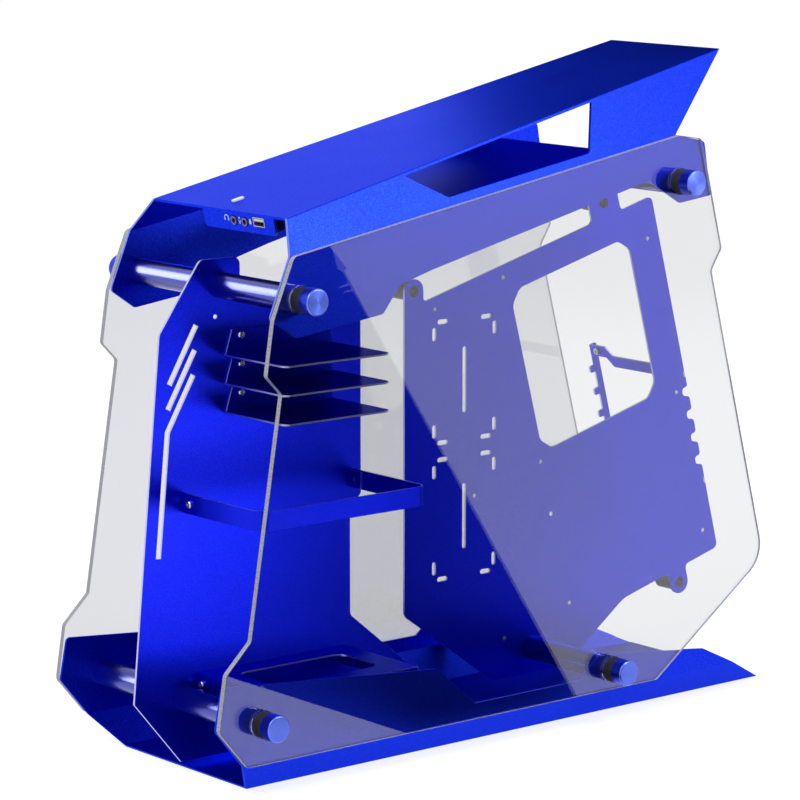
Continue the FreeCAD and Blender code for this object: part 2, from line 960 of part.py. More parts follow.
def build_bushing(corner, side):
    """Rubber bushing through the glass, between flange and knob."""
    centre = axes[corner]
    body = new_body(f"bushing_{side}_{corner}")
    sign = sides[side]
    sketch = new_sketch(body, "YZ_Plane", d.half_width * sign)
    circle(sketch, centre, d.bushing_diameter)
    circle(sketch, centre, stud_hole)
    pad(body, sketch, d.bushing_length, backward=side == "far")


def build_knob(corner, side):
    """Round knob with a stud that reaches into the pillar."""
    centre = axes[corner]
    body = new_body(f"knob_{side}_{corner}")
    sign = sides[side]
    seat = bushing_end * sign
    face = (bushing_end + d.knob_length) * sign
    rod(body, centre, d.knob_diameter, seat, face)
    chamfer_ring(body, "x", face, d.knob_diameter, d.knob_chamfer)
    rod(body, centre, d.stud_diameter, seat, (flange_inner - d.stud_reach) * sign)


def shelf_screw_spots(number):
    """Screw centres of one drive shelf."""
    z = d.shelf_top_z - d.shelf_pitch * number + d.shelf_screw_rise
    return [(d.shelf_screw_y, z), (d.shelf_screw_y + d.shelf_screw_span, z)]


strap_lugs = [
    (d.strap_front_y + d.thin_sheet, d.strap_front_y + d.thin_sheet + d.sheet),
    (d.strap_rear_y - d.thin_sheet - d.sheet, d.strap_rear_y - d.thin_sheet),
]
supply_lugs = [
    (d.supply_front_y + d.thin_sheet, d.supply_front_y + d.thin_sheet + d.sheet),
    (d.supply_rear_y - d.thin_sheet - d.sheet, d.supply_rear_y - d.thin_sheet),
]
strap_middle = d.strap_z + d.strap_height / 2
supply_screw_z = d.supply_top_z - d.supply_lip / 2 - d.thin_sheet / 2


def build_front_plate():
    """Middle plate of the front half with vents and bent-out lugs."""
    body = new_body("front_plate")
    outline = [
        (d.upper_front_y - d.ear_front, d.upper_front_z + d.ear_top),
        (d.upper_front_y + d.ear_rear, d.upper_front_z + d.ear_top),
        (d.upper_front_y + d.ear_rear, d.plate_top_z),
        (d.plate_rear_y - d.plate_corner, d.plate_top_z),
        (d.plate_rear_y, d.plate_top_z - d.plate_corner),
        (d.plate_rear_y, d.plate_step_z),
        (d.plate_rear_y - d.plate_step, d.plate_step_z - d.plate_step),
        (d.plate_rear_y - d.plate_step, d.plate_diagonal_z),
        (d.plate_heel_y, d.plate_bottom_z),
        (d.plate_foot_y, d.plate_bottom_z),
        (d.nose_y, d.nose_z),
        (d.brow_y, d.brow_z),
    ]
    sketch = new_sketch(body, "YZ_Plane", d.plate_x)
    polygon(sketch, outline)
    circle(sketch, axes["upper_front"], stud_hole)
    circle(sketch, axes["lower_front"], stud_hole)
    circle(sketch, (d.cable_hole_y, d.cable_hole_z), d.cable_hole)
    for number in range(SHELVES):
        for spot in shelf_screw_spots(number):
            circle(sketch, spot, screw_hole)
    pad(body, sketch, d.sheet)
    round_off(body, "x", [outline[0], outline[1], outline[7], outline[8]], d.plate_round)
    vents = new_sketch(body, "YZ_Plane")
    for number in range(VENTS):
        top = d.vent_top_z - d.vent_pitch * number
        shift = d.vent_shift * number
        slot(
            vents,
            (d.vent_rear_y - shift, top),
            (d.vent_front_y - shift, top - d.vent_rise),
            d.vent_width,
        )
    pocket(body, vents)
    tail = new_sketch(body, "YZ_Plane")
    slot(
        tail,
        (
            d.vent_front_y - d.vent_shift * (VENTS - 1),
            d.vent_top_z - d.vent_pitch * (VENTS - 1) - d.vent_rise,
        ),
        (d.vent_tail_y, d.vent_tail_z),
        d.vent_width,
    )
    pocket(body, tail)
    root_x = plate_near - d.sheet / 2
    tip_x = plate_near + d.lug_reach
    for spans, middle in ((strap_lugs, strap_middle), (supply_lugs, supply_screw_z)):
        for low_y, high_y in spans:
            lug = new_sketch(body, "XZ_Plane", -low_y)
            rectangle(
                lug,
                (root_x, middle - d.lug_height / 2),
                (tip_x, middle + d.lug_height / 2),
            )
            pad(body, lug, high_y - low_y, backward=True)
            hole = new_sketch(body, "XZ_Plane", -low_y)
            circle(hole, (d.lug_screw_x, middle), screw_hole)
            pocket(body, hole, high_y - low_y)


def build_shelf(number):
    """One drive shelf, a folded sheet with an upright tab on the plate."""
    body = new_body(f"drive_shelf_{number + 1}")
    top = d.shelf_top_z - d.shelf_pitch * number
    rear_y = d.shelf_front_y + d.shelf_length
    outer_x = plate_near + d.shelf_depth
    floor = new_sketch(body, "XY_Plane", top - d.thin_sheet)
    corners = [(plate_near, d.shelf_front_y), (outer_x, d.shelf_front_y)]
    corners += [(outer_x, rear_y), (plate_near, rear_y)]
    polygon(floor, corners)
    pad(body, floor, d.thin_sheet)
    round_off(body, "z", corners[1:3], d.shelf_round)
    tab = new_sketch(body, "YZ_Plane", plate_near)
    polygon(tab, [
        (d.shelf_front_y, top - d.thin_sheet / 2),
        (rear_y, top - d.thin_sheet / 2),
        (rear_y - d.shelf_tab_slant, top + d.shelf_tab),
        (d.shelf_front_y + d.shelf_tab_slant, top + d.shelf_tab),
    ])
    for spot in shelf_screw_spots(number):
        circle(tab, spot, screw_hole)
    pad(body, tab, d.thin_sheet)


def build_strap():
    """Strap round the power supply bay."""
    body = new_body("psu_strap")
    wall = d.thin_sheet
    outer_x = d.half_width - d.strap_gap
    inner_x = outer_x - wall
    sketch = new_sketch(body, "XY_Plane", d.strap_z)
    outer = [(plate_near, d.strap_front_y), (outer_x, d.strap_front_y)]
    outer += [(outer_x, d.strap_rear_y), (plate_near, d.strap_rear_y)]
    inner = [(plate_near, d.strap_rear_y - wall), (inner_x, d.strap_rear_y - wall)]
    inner += [(inner_x, d.strap_front_y + wall), (plate_near, d.strap_front_y + wall)]
    polygon(sketch, outer + inner)
    pad(body, sketch, d.strap_height)
    round_off(body, "z", inner[1:3], d.strap_round)
    round_off(body, "z", outer[1:3], d.strap_round + wall)
    holes = new_sketch(body, "XZ_Plane")
    circle(holes, (d.lug_screw_x, strap_middle), screw_hole)
    pocket(body, holes)


def build_supply_shelf():
    """Shelf under the power supply with turned-down lips."""
    body = new_body("psu_shelf")
    near_x = d.half_width - d.supply_gap
    low = d.supply_top_z - d.supply_lip
    wall = d.thin_sheet
    section = new_sketch(body, "YZ_Plane", plate_near)
    polygon(section, [
        (d.supply_front_y, low),
        (d.supply_front_y, d.supply_top_z),
        (d.supply_rear_y, d.supply_top_z),
        (d.supply_rear_y, low),
        (d.supply_rear_y - wall, low),
        (d.supply_rear_y - wall, d.supply_top_z - wall),
        (d.supply_front_y + wall, d.supply_top_z - wall),
        (d.supply_front_y + wall, low),
    ])
    pad(body, section, near_x - plate_near)
    folds = [(d.supply_front_y, d.supply_top_z), (d.supply_rear_y, d.supply_top_z)]
    round_off(body, "x", folds, d.thin_fold_round)
    margin = d.supply_opening_margin
    opening = [
        (plate_near + margin, d.supply_front_y + margin),
        (near_x - margin, d.supply_front_y + margin),
        (near_x - margin, d.supply_rear_y - margin),
        (plate_near + margin, d.supply_rear_y - margin),
    ]
    hole = new_sketch(body, "XY_Plane", d.supply_top_z)
    polygon(hole, opening)
    pocket(body, hole, wall * 2)
    round_off(body, "z", opening, d.supply_round)
    screws = new_sketch(body, "XZ_Plane")
    circle(screws, (d.lug_screw_x, supply_screw_z), screw_hole)
    pocket(body, screws)


def build_shelf_screws():
    """Screws that hold the drive shelves to the plate."""
    body = new_body("drive_shelf_screws", compound=True)
    seat = plate_near + d.thin_sheet
    heads = new_sketch(body, "YZ_Plane", seat)
    shanks = new_sketch(body, "YZ_Plane", seat)
    for number in range(SHELVES):
        for spot in shelf_screw_spots(number):
            circle(heads, spot, d.screw_head)
            circle(shanks, spot, d.screw_diameter)
    pad(body, heads, d.screw_head_height)
    ease_heads(body, "x", seat + d.screw_head_height)
    pad(body, shanks, seat - d.plate_x, backward=True)


def build_lug_screws(label, front_y, rear_y, middle):
    """Screws along Y through a pair of lugs."""
    body = new_body(label, compound=True)
    spot = (d.lug_screw_x, middle)
    length = d.thin_sheet + d.sheet
    for seat, toward_rear in ((front_y, True), (rear_y, False)):
        head = new_sketch(body, "XZ_Plane", -seat)
        circle(head, spot, d.screw_head)
        pad(body, head, d.screw_head_height, backward=not toward_rear)
        end = -d.screw_head_height if toward_rear else d.screw_head_height
        ease_heads(body, "y", seat + end)
        shank = new_sketch(body, "XZ_Plane", -seat)
        circle(shank, spot, d.screw_diameter)
        pad(body, shank, length, backward=toward_rear)


board_rows = [ZERO, d.board_row_second, d.board_row_third]
board_columns = [d.board_column_second, d.board_column_third]
board_holes = [
    board(d.board_column - column, d.board_row - row)
    for column in board_columns
    for row in board_rows
]
board_holes += [
    board(d.board_column, d.board_row - row)
    for row in (d.board_row_corner, d.board_row_second, d.board_row_third)
]
small_board_hole = board(d.board_column - d.board_column_second, d.board_row - d.board_row_small)
ear_axis = d.ear_left + d.ear_width / 2
lug_half = d.lug_width / 2
lug_centres = [
    (d.tray_left_y + lug_half, d.left_lug_top_z - lug_half),
    board(ear_axis, d.tray_top + d.ear_hole_rise),
    board(d.right_lug, d.tray_bottom - d.lug_rise + lug_half),
]


def build_tray():
    """Tilted tray for the board, with drive slots, cut-outs and lugs."""
    body = new_body("motherboard_tray")
    left_lug_rear = d.tray_left_y + d.lug_width
    lug_low_z = (d.tray_top + left_lug_rear * tilt_sine) / tilt_cosine
    ear_right = d.ear_left + d.ear_width
    lug_left = d.right_lug - lug_half
    lug_right = d.right_lug + lug_half
    lug_end = d.tray_bottom - d.lug_rise
    ear_top = d.tray_top + d.ear_rise
    left_lug = [
        (d.tray_left_y, d.left_lug_top_z),
        (left_lug_rear, d.left_lug_top_z),
    ]
    ear = [board(d.ear_left, ear_top), board(ear_right, ear_top)]
    corners = [board(d.tray_right, d.tray_top), board(d.tray_right, d.tray_bottom)]
    right_lug = [board(lug_right, lug_end), board(lug_left, lug_end)]
    nose = [
        (d.tray_nose_rear_y, d.tray_nose_z),
        (d.tray_nose_front_y, d.tray_nose_z),
    ]
    outline = left_lug + [(left_lug_rear, lug_low_z), board(d.ear_left, d.tray_top)]
    outline += ear + [board(ear_right, d.tray_top)] + corners
    outline += [board(lug_right, d.tray_bottom)] + right_lug
    outline += [board(lug_left, d.tray_bottom), board(d.tray_tail, d.tray_bottom)]
    outline += nose + [(d.tray_left_y, d.tray_low_z)]
    sketch = new_sketch(body, "YZ_Plane", d.plate_x)
    polygon(sketch, outline)
    circle(sketch, axes["upper_rear"], stud_hole)
    circle(sketch, axes["lower_rear"], stud_hole)
    for centre in lug_centres:
        circle(sketch, centre, d.lug_hole)
    for centre in board_holes + [small_board_hole]:
        circle(sketch, centre, screw_hole)
    pad(body, sketch, d.sheet)
    round_off(body, "x", left_lug + right_lug, lug_half - d.fit)
    round_off(body, "x", ear, d.ear_crown)
    round_off(body, "x", corners, d.tray_round)
    round_off(body, "x", nose, d.ear_crown)
    cut_cooler(body)
    cut_card_notches(body)
    cut_drive_slots(body)


def cut_cooler(body):
    """Cut the opening behind the processor."""
    chamfer = d.cooler_chamfer
    left, right = d.cooler_left, d.cooler_right
    low, high = d.cooler_bottom, d.cooler_top
    sketch = new_sketch(body, "YZ_Plane")
    polygon(sketch, [
        board(left + chamfer, low),
        board(right - chamfer, low),
        board(right, low + chamfer),
        board(right, high - chamfer),
        board(right - chamfer, high),
        board(left + chamfer, high),
        board(left, high - chamfer),
        board(left, low + chamfer),
    ])
    pocket(body, sketch)


def cut_card_notches(body):
    """Cut the card notches and the two nicks for the bracket's tongues."""
    sketch = new_sketch(body, "YZ_Plane")
    deep = d.tray_right - d.card_notch_depth
    out = d.tray_right + d.sheet
    for number in range(CARDS):
        top = d.card_notch_top - d.card_pitch * number
        polygon(sketch, [
            board(out, top),
            board(deep, top),
            board(deep, top - d.card_notch_height + d.card_notch_slant),
            board(out, top - d.card_notch_height),
        ])
    for top in (d.card_arm_top, d.card_arm_low):
        middle = top - d.card_arm / 2
        half = d.card_tongue / 2 + d.fit
        polygon(sketch, [
            board(out, middle - half),
            board(d.tray_right - d.sheet, middle - half),
            board(d.tray_right - d.sheet, middle + half),
            board(out, middle + half),
        ])
    pocket(body, sketch)


def cut_drive_slots(body):
    """Cut the mounting slots of the small and large drives."""
    sketch = new_sketch(body, "YZ_Plane")
    half = d.drive_slot_travel / 2
    for middle in (d.drive_upper_z, d.drive_lower_z):
        for across in (-1, 1):
            for along in (-1, 1):
                y = d.drive_y + d.small_drive_width / 2 * across
                z = middle + d.small_drive_height / 2 * along
                slot(sketch, (y, z - half), (y, z + half), d.drive_slot)
                y = d.drive_y + d.large_drive_width / 2 * across
                z = middle + d.large_drive_height / 2 * along
                slot(sketch, (y - half, z), (y + half, z), d.drive_slot)
        reach = d.long_slot_travel / 2
        slot(
            sketch,
            (d.drive_y, middle - reach),
            (d.drive_y, middle + reach),
            d.drive_slot,
        )
    pocket(body, sketch)


def build_standoffs():
    """Hexagonal standoffs on the far side of the tray, one at each board hole."""
    body = new_body("board_standoffs", compound=True)
    posts = new_sketch(body, "YZ_Plane", d.plate_x)
    studs = new_sketch(body, "YZ_Plane", d.plate_x)
    for centre in board_holes:
        hexagon(posts, centre, d.standoff_width)
        circle(studs, centre, d.screw_diameter)
    pad(body, posts, d.standoff_height, backward=True)
    pad(body, studs, d.sheet)
    holes = new_sketch(body, "YZ_Plane", d.plate_x - d.standoff_height)
    for centre in board_holes:
        circle(holes, centre, d.screw_diameter)
    pocket(body, holes, d.standoff_height - d.thin_sheet, backward=True)


def build_spacers():
    """Hollow spacers behind the tray lugs."""
    body = new_body("tray_spacers", compound=True)
    sketch = new_sketch(body, "YZ_Plane", d.plate_x)
    for centre in lug_centres:
        circle(sketch, centre, d.spacer_diameter)
        circle(sketch, centre, d.lug_hole)
    pad(body, sketch, d.spacer_length, backward=True)


def build_card_bracket():
    """Bracket for cards: two arms from the tray's rear edge and a hooked bar."""
    body = new_body("card_bracket")
    tilt_body(body, d.board_tilt)
    far_x = d.plate_x - d.card_reach
    front_u = d.tray_right - d.sheet
    top = d.card_arm_top
    low = d.card_arm_low
    arm = d.card_arm
    tongue = d.card_tongue / 2
    arms = new_sketch(body, "XZ_Plane", -front_u)
    polygon(arms, [
        (plate_near, top - arm / 2 - tongue),
        (plate_near, top - arm / 2 + tongue),
        (d.plate_x, top - arm / 2 + tongue),
        (d.plate_x, top),
        (-d.card_jog_x, top),
        (-d.card_step_x, top + d.card_jog),
        (far_x, top + d.card_jog),
        (far_x, low - arm),
        (d.plate_x, low - arm),
        (d.plate_x, low - arm / 2 - tongue),
        (plate_near, low - arm / 2 - tongue),
        (plate_near, low - arm / 2 + tongue),
        (d.plate_x, low - arm / 2 + tongue),
        (d.plate_x, low),
        (far_x + d.sheet, low),
        (far_x + d.sheet, top + d.card_jog - arm),
        (-d.card_step_x, top + d.card_jog - arm),
        (-d.card_jog_x, top - arm),
        (d.plate_x, top - arm),
        (d.plate_x, top - arm / 2 - tongue),
    ])
    pad(body, arms, d.sheet, backward=True)
    bar = new_sketch(body, "YZ_Plane", far_x)
    rectangle(
        bar,
        (front_u, low - arm),
        (d.tray_right + d.card_bar - d.sheet, top + d.card_jog),
    )
    pad(body, bar, d.sheet)
    hooks = new_sketch(body, "YZ_Plane", far_x)
    for number in range(CARDS):
        high = d.card_hook_top - d.card_pitch * number
        rectangle(
            hooks,
            (front_u - d.card_hook, high - d.card_hook_height),
            (front_u + d.sheet / 2, high),
        )
    pad(body, hooks, d.sheet)
    hole = new_sketch(body, "XZ_Plane", -front_u)
    circle(hole, card_screw, screw_hole)
    pocket(body, hole, d.sheet)


card_screw = (
    d.plate_x - d.card_reach + d.card_screw_back,
    d.card_arm_top + d.card_jog - d.card_arm / 2,
)


def build_card_screw():
    """Screw at the far end of the bracket's upper arm."""
    body = new_body("card_bracket_screw")
    tilt_body(body, d.board_tilt)
    front_u = d.tray_right - d.sheet
    head = new_sketch(body, "XZ_Plane", -front_u)
    circle(head, card_screw, d.screw_head)
    pad(body, head, d.screw_head_height)
    ease_heads(body, "y", front_u - d.screw_head_height)
    shank = new_sketch(body, "XZ_Plane", -front_u)
    circle(shank, card_screw, d.screw_diameter)
    pad(body, shank, d.sheet * 2, backward=True)


# frame lying on the roof: X across, Y along the slope, Z out of the roof
jack_z = -d.jack_drop
usb_z = -d.usb_drop
board_top = jack_z - d.jack_block / 2
lip_top = -d.sheet - d.button_rest_gap
lip_low = lip_top - d.button_lip_height
cap_top = lip_low - d.button_travel - d.button_spare


def roof_body(label):
    """Start a body whose frame lies on the roof."""
    body = new_body(label)
    tilt_body(body, angle_of(roof_slope), d.roof_front_y, d.roof_front_z)
    return body


def box(body, low, high):
    """Add a box between two corners."""
    sketch = new_sketch(body, "XY_Plane", low[2])
    rectangle(sketch, low[:2], high[:2])
    pad(body, sketch, high[2] - low[2])


def build_jack(number, x):
    """Audio socket: a block behind the lip and a round nose through it."""
    body = roof_body(f"audio_jack_{number}")
    half = d.jack_block / 2
    box(
        body,
        (x - half, d.sheet, board_top),
        (x + half, d.jack_length, board_top + d.jack_block),
    )
    nose = new_sketch(body, "XZ_Plane", -d.sheet)
    circle(nose, (x, jack_z), d.jack_diameter)
    pad(body, nose, d.sheet + d.jack_proud)
    hole = new_sketch(body, "XZ_Plane", d.jack_proud)
    circle(hole, (x, jack_z), d.jack_bore)
    pocket(body, hole, d.jack_bore_depth)


def build_usb():
    """Wide port: a shell through the lip with a tongue inside."""
    body = roof_body("usb_port")
    half = d.usb_width / 2
    high = usb_z + d.usb_height / 2
    low = usb_z - d.usb_height / 2
    box(body, (d.usb_x - half, d.sheet, board_top), (d.usb_x + half, d.usb_length, high))
    box(body, (d.usb_x - half, ZERO, low), (d.usb_x + half, d.sheet, high))
    mouth = new_sketch(body, "XZ_Plane")
    wall = d.usb_wall
    inset = wall * 2
    rectangle(
        mouth,
        (d.usb_x - half + wall, low + wall),
        (d.usb_x + half - wall, high - wall),
    )
    rectangle(
        mouth,
        (d.usb_x - half + inset, high - inset - d.usb_tongue),
        (d.usb_x + half - inset, high - inset),
    )
    pocket(body, mouth, d.usb_length - d.sheet)


def build_socket_board():
    """Small circuit board that carries the sockets and the switch."""
    body = roof_body("io_board")
    box(
        body,
        (d.socket_left, d.sheet, board_top - d.socket_board_thickness),
        (d.socket_right, d.sheet + d.socket_board_depth, board_top),
    )


def build_button():
    """Long power button with a lip that keeps it under the roof."""
    body = roof_body("power_button")
    cap = new_sketch(body, "XY_Plane", lip_low)
    slot(cap, *button_ends(), d.button_width - d.fit * 2)
    pad(body, cap, d.button_proud - lip_low)
    lip = new_sketch(body, "XY_Plane", lip_low)
    slot(lip, *button_ends(), d.button_width + d.button_lip * 2)
    pad(body, lip, d.button_lip_height)


def build_switch():
    """Switch on the board under the power button."""
    body = roof_body("power_switch")
    half = d.switch_size / 2
    box(
        body,
        (d.button_x - half, d.button_run - half, board_top),
        (d.button_x + half, d.button_run + half, cap_top - d.switch_cap_height),
    )
    cap = new_sketch(body, "XY_Plane", cap_top - d.switch_cap_height)
    circle(cap, (d.button_x, d.button_run), d.switch_cap)
    pad(body, cap, d.switch_cap_height)


def build_all():
    """Build every piece of the case."""
    build_base()
    build_top()
    build_deck()
    for side in sides:
        build_glass(side)
        for corner in axes:
            build_pillar(corner, side)
            build_bushing(corner, side)
            build_knob(corner, side)
    build_front_plate()
    for number in range(SHELVES):
        build_shelf(number)
    build_shelf_screws()
    build_strap()
    build_lug_screws("psu_strap_screws", d.strap_front_y, d.strap_rear_y, strap_middle)
    build_supply_shelf()
    build_lug_screws(
        "psu_shelf_screws", d.supply_front_y, d.supply_rear_y, supply_screw_z
    )
    build_tray()
    build_standoffs()
    build_spacers()
    build_card_bracket()
    build_card_screw()
    build_jack(1, d.jack_first_x)
    build_jack(2, d.jack_second_x)
    build_usb()
    build_socket_board()
    build_button()
    build_switch()


def centre_case():
    """Move the whole case so that Y = 0 is the middle of its length."""
    lows = [body.Shape.BoundBox.YMin for body in bodies]
    highs = [body.Shape.BoundBox.YMax for body in bodies]
    sheet_object.set(CENTRE_CELL, repr((min(lows) + max(highs)) / 2))
    doc.recompute()


def check_all():
    """Stop at any feature in error or any shape that is not sound."""
    for item in doc.Objects:
        if "Invalid" in item.State or "Error" in item.State:
            raise RuntimeError(f"{item.Label}: {item.State}")
    for body in bodies:
        if body.Shape.isNull() or not body.Shape.isValid():
            raise RuntimeError(f"{body.Label}: unsound shape")


build_all()
centre_case()
check_all()
os.makedirs("parts", exist_ok=True)
for body in bodies:
    body.Shape.exportStep(f"parts/{body.Label}.step")
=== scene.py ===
"""Looks of an open-frame computer case with folded blue sheets and glass sides.

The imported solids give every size. Each piece here is a finer copy of one solid, or a
detailed piece in its place, with its own finish. Lengths are in metres.
"""

import json
import math
from collections import namedtuple

import bmesh
import bpy
from mathutils import Matrix, Vector


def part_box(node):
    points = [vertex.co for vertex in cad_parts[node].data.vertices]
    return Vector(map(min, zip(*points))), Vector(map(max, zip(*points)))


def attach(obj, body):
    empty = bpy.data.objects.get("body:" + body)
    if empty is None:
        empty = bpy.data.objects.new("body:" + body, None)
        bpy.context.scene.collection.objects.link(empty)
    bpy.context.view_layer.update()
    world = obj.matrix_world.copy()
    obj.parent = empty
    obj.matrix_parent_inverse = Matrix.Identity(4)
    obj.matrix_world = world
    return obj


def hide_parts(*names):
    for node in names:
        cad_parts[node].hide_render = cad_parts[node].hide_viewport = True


bl_info = {
    "name": "Open Frame Case",
    "version": (1, 0, 0),
    "blender": (4, 5, 0),
    "location": "View3D > Sidebar > Case",
    "description": "Dresses the packed solids of an open-frame computer case",
    "category": "Object",
}

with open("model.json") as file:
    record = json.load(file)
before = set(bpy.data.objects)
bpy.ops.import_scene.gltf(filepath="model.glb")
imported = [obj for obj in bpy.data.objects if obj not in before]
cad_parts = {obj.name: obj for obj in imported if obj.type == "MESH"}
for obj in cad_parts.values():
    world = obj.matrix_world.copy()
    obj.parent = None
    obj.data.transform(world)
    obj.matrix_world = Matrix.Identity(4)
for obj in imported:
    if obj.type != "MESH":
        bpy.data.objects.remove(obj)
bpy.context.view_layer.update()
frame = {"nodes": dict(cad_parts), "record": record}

CORNERS = ("upper_front", "lower_front", "upper_rear", "lower_rear")
SIDES = ("near", "far")
NEAR_KNOBS = tuple(f"knob_near_{corner}" for corner in CORNERS)
PILLARS = tuple(f"pillar_{side}_{corner}" for side in SIDES for corner in CORNERS)

MM = 0.001
MERGE = 1e-6
SENSOR = 36.0
FAR_CLIP = 100.0
GRAIN_DEPTH = 0.2 * MM
COAT_ROUGHNESS = 0.25
SECOND_FINISH = 1
MIX_FACTOR, MIX_LOW, MIX_HIGH, MIX_COLOR = 0, 6, 7, 2

WHITE = (1.0, 1.0, 1.0, 1.0)
GREY = (0.3, 0.3, 0.3, 1.0)
BLACK = (0.0, 0.0, 0.0, 1.0)
BLUE_SHEEN = (0.43, 0.5, 1.0, 1.0)

# Colour, shade between the grains, range of roughness, scale and height of the grain
Look = namedtuple("Look", "color shade roughness grain bump")

# Width of the small bevels on the pieces that aren't sheets
ARRIS = {
    "pillar": 0.3 * MM,
    "knob": 0.2 * MM,
    "bushing": 0.5 * MM,
    "standoff": 0.15 * MM,
    "spacer": 0.4 * MM,
    "port": 0.1 * MM,
    "jack": 0.2 * MM,
    "board": 0.1 * MM,
    "switch": 0.2 * MM,
    "button": 0.4 * MM,
}

# Place, target and size of each lamp, and the nodes it is kept to, if any
MIDDLE = (0.0, 0.0, 0.25)
FRONT = (0.0, -0.25, 0.25)
SIDE_NODES = ("top_shell", "base_shell", "motherboard_tray", *NEAR_KNOBS)
LAMPS = {
    "key": ((0.4, -1.6, 1.9), MIDDLE, (1.4, 1.0), ()),
    "side": ((1.25, 0.75, 0.65), FRONT, (0.4, 0.3), SIDE_NODES),
    "plate": ((0.5, 0.03, 0.1), FRONT, (0.1, 0.2), ("front_plate", "psu_strap")),
    "back": ((-1.2, 1.6, 1.2), MIDDLE, (1.2, 1.0), ()),
    "bar": ((-1.5, -1.2, 0.9), FRONT, (0.5, 1.2), ("psu_strap", *PILLARS)),
    "wall": ((1.0, 0.6, 1.7), MIDDLE, (0.6, 0.6), ()),
}


def level(z, *corners):
    """Corners of a level shape at one height."""
    return [(x, y, z) for x, y in corners]


def upright(x, *corners):
    """Corners of an upright shape at one place along X."""
    return [(x, y, z) for y, z in corners]


# Corners of the black flags that show only in gloss
FLAGS = {
    "floor_flag": level(
        0.003, (0.15, -0.065), (7.85, -0.065), (7.85, 5.4), (0.15, 0.1)
    ),
    "outer_flag": level(0.004, (3.6, 0.0), (7.85, 0.0), (7.85, 7.0), (3.6, 7.0)),
    "wall_flag": upright(7.9, (-3.0, 0.0), (12.0, 0.0), (12.0, 4.5), (-3.0, 4.5)),
    "roof_flag": upright(-1.0, (0.75, 0.35), (2.6, 0.35), (2.6, 2.2), (0.75, 2.2)),
}


